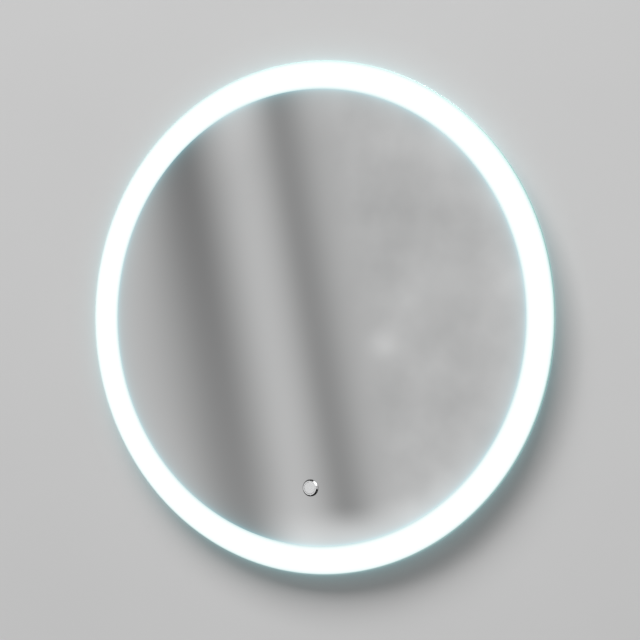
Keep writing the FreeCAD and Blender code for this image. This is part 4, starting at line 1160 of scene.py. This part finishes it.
def lamp(name, size, power, direction, distance):
    """A soft lamp of some width and height that faces the mirror's centre."""
    light = bpy.data.lights.new(name, "AREA")
    light.shape = "RECTANGLE"
    light.size, light.size_y = size
    light.energy = power
    holder = bpy.data.objects.new(name, light)
    back = direction.normalized()
    turn = back.to_track_quat("Z", "Y").to_matrix().to_4x4()
    holder.matrix_world = Matrix.Translation(FACE + back * distance) @ turn
    bpy.context.scene.collection.objects.link(holder)
    return holder


def offset(across, up, band):
    """How far a place on the glass lies to the right of a slanted band's middle."""
    return across - band[0] + up * band[1]


def soft_band(nodes, across, up, band):
    """A slanted band, 1 along its middle and faded to its own width on either side."""
    beyond = offset(across, up, band)
    return nodes.add("Mix", None, {0: beyond > 0, 2: beyond.hump(band[2]), 3: beyond.hump(band[3])})


def reflected_bands(nodes, heading, x, y, z):
    """The level that the glass reflects: soft slanted bands, a mottle, and glows low and right."""
    depth = (y * -1).high(GRAZING)
    place = camera.matrix_world.translation
    reach = place.y - GLASS_FRONT
    across = (place.x - (x / depth) * reach).wrap(BANDS_REPEAT / 2)
    up = (z / depth) * -reach + place.z
    plain = nodes.noise(heading, CLOUD_SCALE, 2) * PLAIN_CLOUD + PLAIN_LEVEL
    left = soft_band(nodes, across, up, LEFT_BAND)
    middle = soft_band(nodes, across, up, MIDDLE_BAND) * up.ramp(*MIDDLE_END)
    pale = soft_band(nodes, across, up, PALE_BAND)
    flat = nodes.add("CombineXYZ", None, {0: across, 2: up})
    beyond = offset(across, up, MIDDLE_BAND).ramp(*MOTTLE_START)
    mottle = (nodes.noise(flat, MOTTLE_SCALE, 3, 0.5) - 0.5) * beyond
    spot_across, spot_up = across - SPOT[0], up - SPOT[1]
    spot = ((spot_across * spot_across + spot_up * spot_up) ** 0.5).hump(SPOT_WIDTH)
    radius = (across * across + up * up) ** 0.5
    low = radius.ramp(*LOW_RADIUS) * across.ramp(*LOW_ACROSS) * (up * -1).ramp(*LOW_DOWN)
    outer = radius.ramp(*OUTER_RADIUS)
    right = across.ramp(*RIGHT_ACROSS)
    level = plain * (1 - left * (LEFT_DARK + up * LEFT_DARKER_UP)) * (1 - middle * MIDDLE_DARK)
    level = level + pale * PALE_LIFT + mottle * MOTTLE + spot * SPOT_LIFT + low * LOW_LIFT
    level = level + (outer * OUTER_LIFT + right * RIGHT_LIFT) * (1 - left) * (1 - middle)
    banded = across.ramp(*PLAIN_LEFT) * (1 - across.ramp(*PLAIN_RIGHT)) * (y * -1).ramp(*PLAIN_AHEAD)
    level = level * banded + plain * (1 - banded)
    return level * (1 - (z * -1).ramp(*FLOOR_START) * FLOOR_DARK)


def make_world():
    """Plain light from all round; bright surfaces reflect bands, dark sides and a softbox in it."""
    world = bpy.data.worlds.new("studio")
    bpy.context.scene.world = world
    world.use_nodes = True
    nodes = Nodes(world.node_tree)
    heading = nodes.add("TexCoord", out="Generated")
    x, y, z = (nodes.axis(heading, name) for name in "XYZ")
    level = reflected_bands(nodes, heading, x, y, z)
    beside = (y - BESIDE[0]).ramp(0, BESIDE_SOFT) * (BESIDE[1] - y).ramp(0, BESIDE_SOFT)
    below = (z * -1).ramp(*BESIDE_BELOW)
    above = z.ramp(*BESIDE_ABOVE)
    share = y.ramp(*BESIDE_LEFT_DEPTH) * (1 - BESIDE_LEFT_SHARE) + BESIDE_LEFT_SHARE
    left = (x * -1).ramp(*BESIDE_LEFT) * share
    level = level * (1 - beside * below.high(above).high(left) * BESIDE_DARK)
    toward_box = x * SOFTBOX[0] + y * SOFTBOX[1] + z * SOFTBOX[2]
    level = level + toward_box.ramp(*SOFTBOX_EDGE) * SOFTBOX_LIFT
    camera_ray, glossy_ray, transmission_ray = (
        nodes.add("LightPath", out=f"Is {kind} Ray") for kind in ("Camera", "Glossy", "Transmission")
    )
    seen = nodes.add("Mix", None, {0: camera_ray, 2: level, 3: BACKDROP})
    bright = (glossy_ray + transmission_ray + camera_ray).low(1)
    strength = nodes.add("Mix", None, {0: bright, 2: AMBIENT, 3: seen})
    shine = nodes.add("Background", None, {"Color": WHITE, "Strength": strength})
    nodes.add("OutputWorld", None, {"Surface": shine})


def make_painted_halo():
    """A faint cool glow painted on a clear ring round the lit rim."""
    painted_halo = turned("painted_halo", [(radius, HALO_DEPTH) for radius in HALO_RADII], steps=STEPS_RIM, closed=False)
    finish = Finish("painted_halo")
    outward = (from_axis(finish) - MIRROR_RADIUS).high(0)
    close_glow = finish.mix(outward.fade(HALO_CLOSE[1]) * HALO_CLOSE[0], BLACK, HALO_CLOSE_COLOUR)
    wide_glow = finish.mix(outward.fade(HALO_WIDE[1]) * HALO_WIDE[0], BLACK, HALO_WIDE_COLOUR)
    both = finish.mix(1.0, close_glow, wide_glow, "ADD")
    # Painted glow: emission on a clear ring round the rim, fading outwards.
    light = finish.add("Emission", None, {"Color": both, "Strength": 1.0})
    clear = finish.add("BsdfTransparent")
    painted_glow = finish.add("AddShader", None, {0: light, 1: clear})
    behind = finish.add("NewGeometry", out="Backfacing")
    shader = finish.add("MixShader", None, {0: behind, 1: painted_glow, 2: clear})
    finish.add("OutputMaterial", None, {"Surface": shader})
    paint(painted_halo, [finish.material])
    keep_from_rays(painted_halo)


backdrop("wall", plaster("wall_paint", WALL_GREY), (0, WALL_GAP, 0), (math.pi / 2, 0, 0))
backdrop("floor", plaster("floor_paint", FLOOR_GREY), (0, 0, FLOOR_LEVEL), (0, 0, 0))
make_painted_halo()
lamp("key", KEY_SIZE, KEY_POWER, KEY_FROM, KEY_DISTANCE).visible_glossy = False
lamp("rear", REAR_SIZE, REAR_POWER, REAR_FROM, REAR_DISTANCE)
make_world()
bpy.context.scene.view_settings.view_transform = "Standard"

# -------------------------------- update of the scene

bpy.context.view_layer.update()
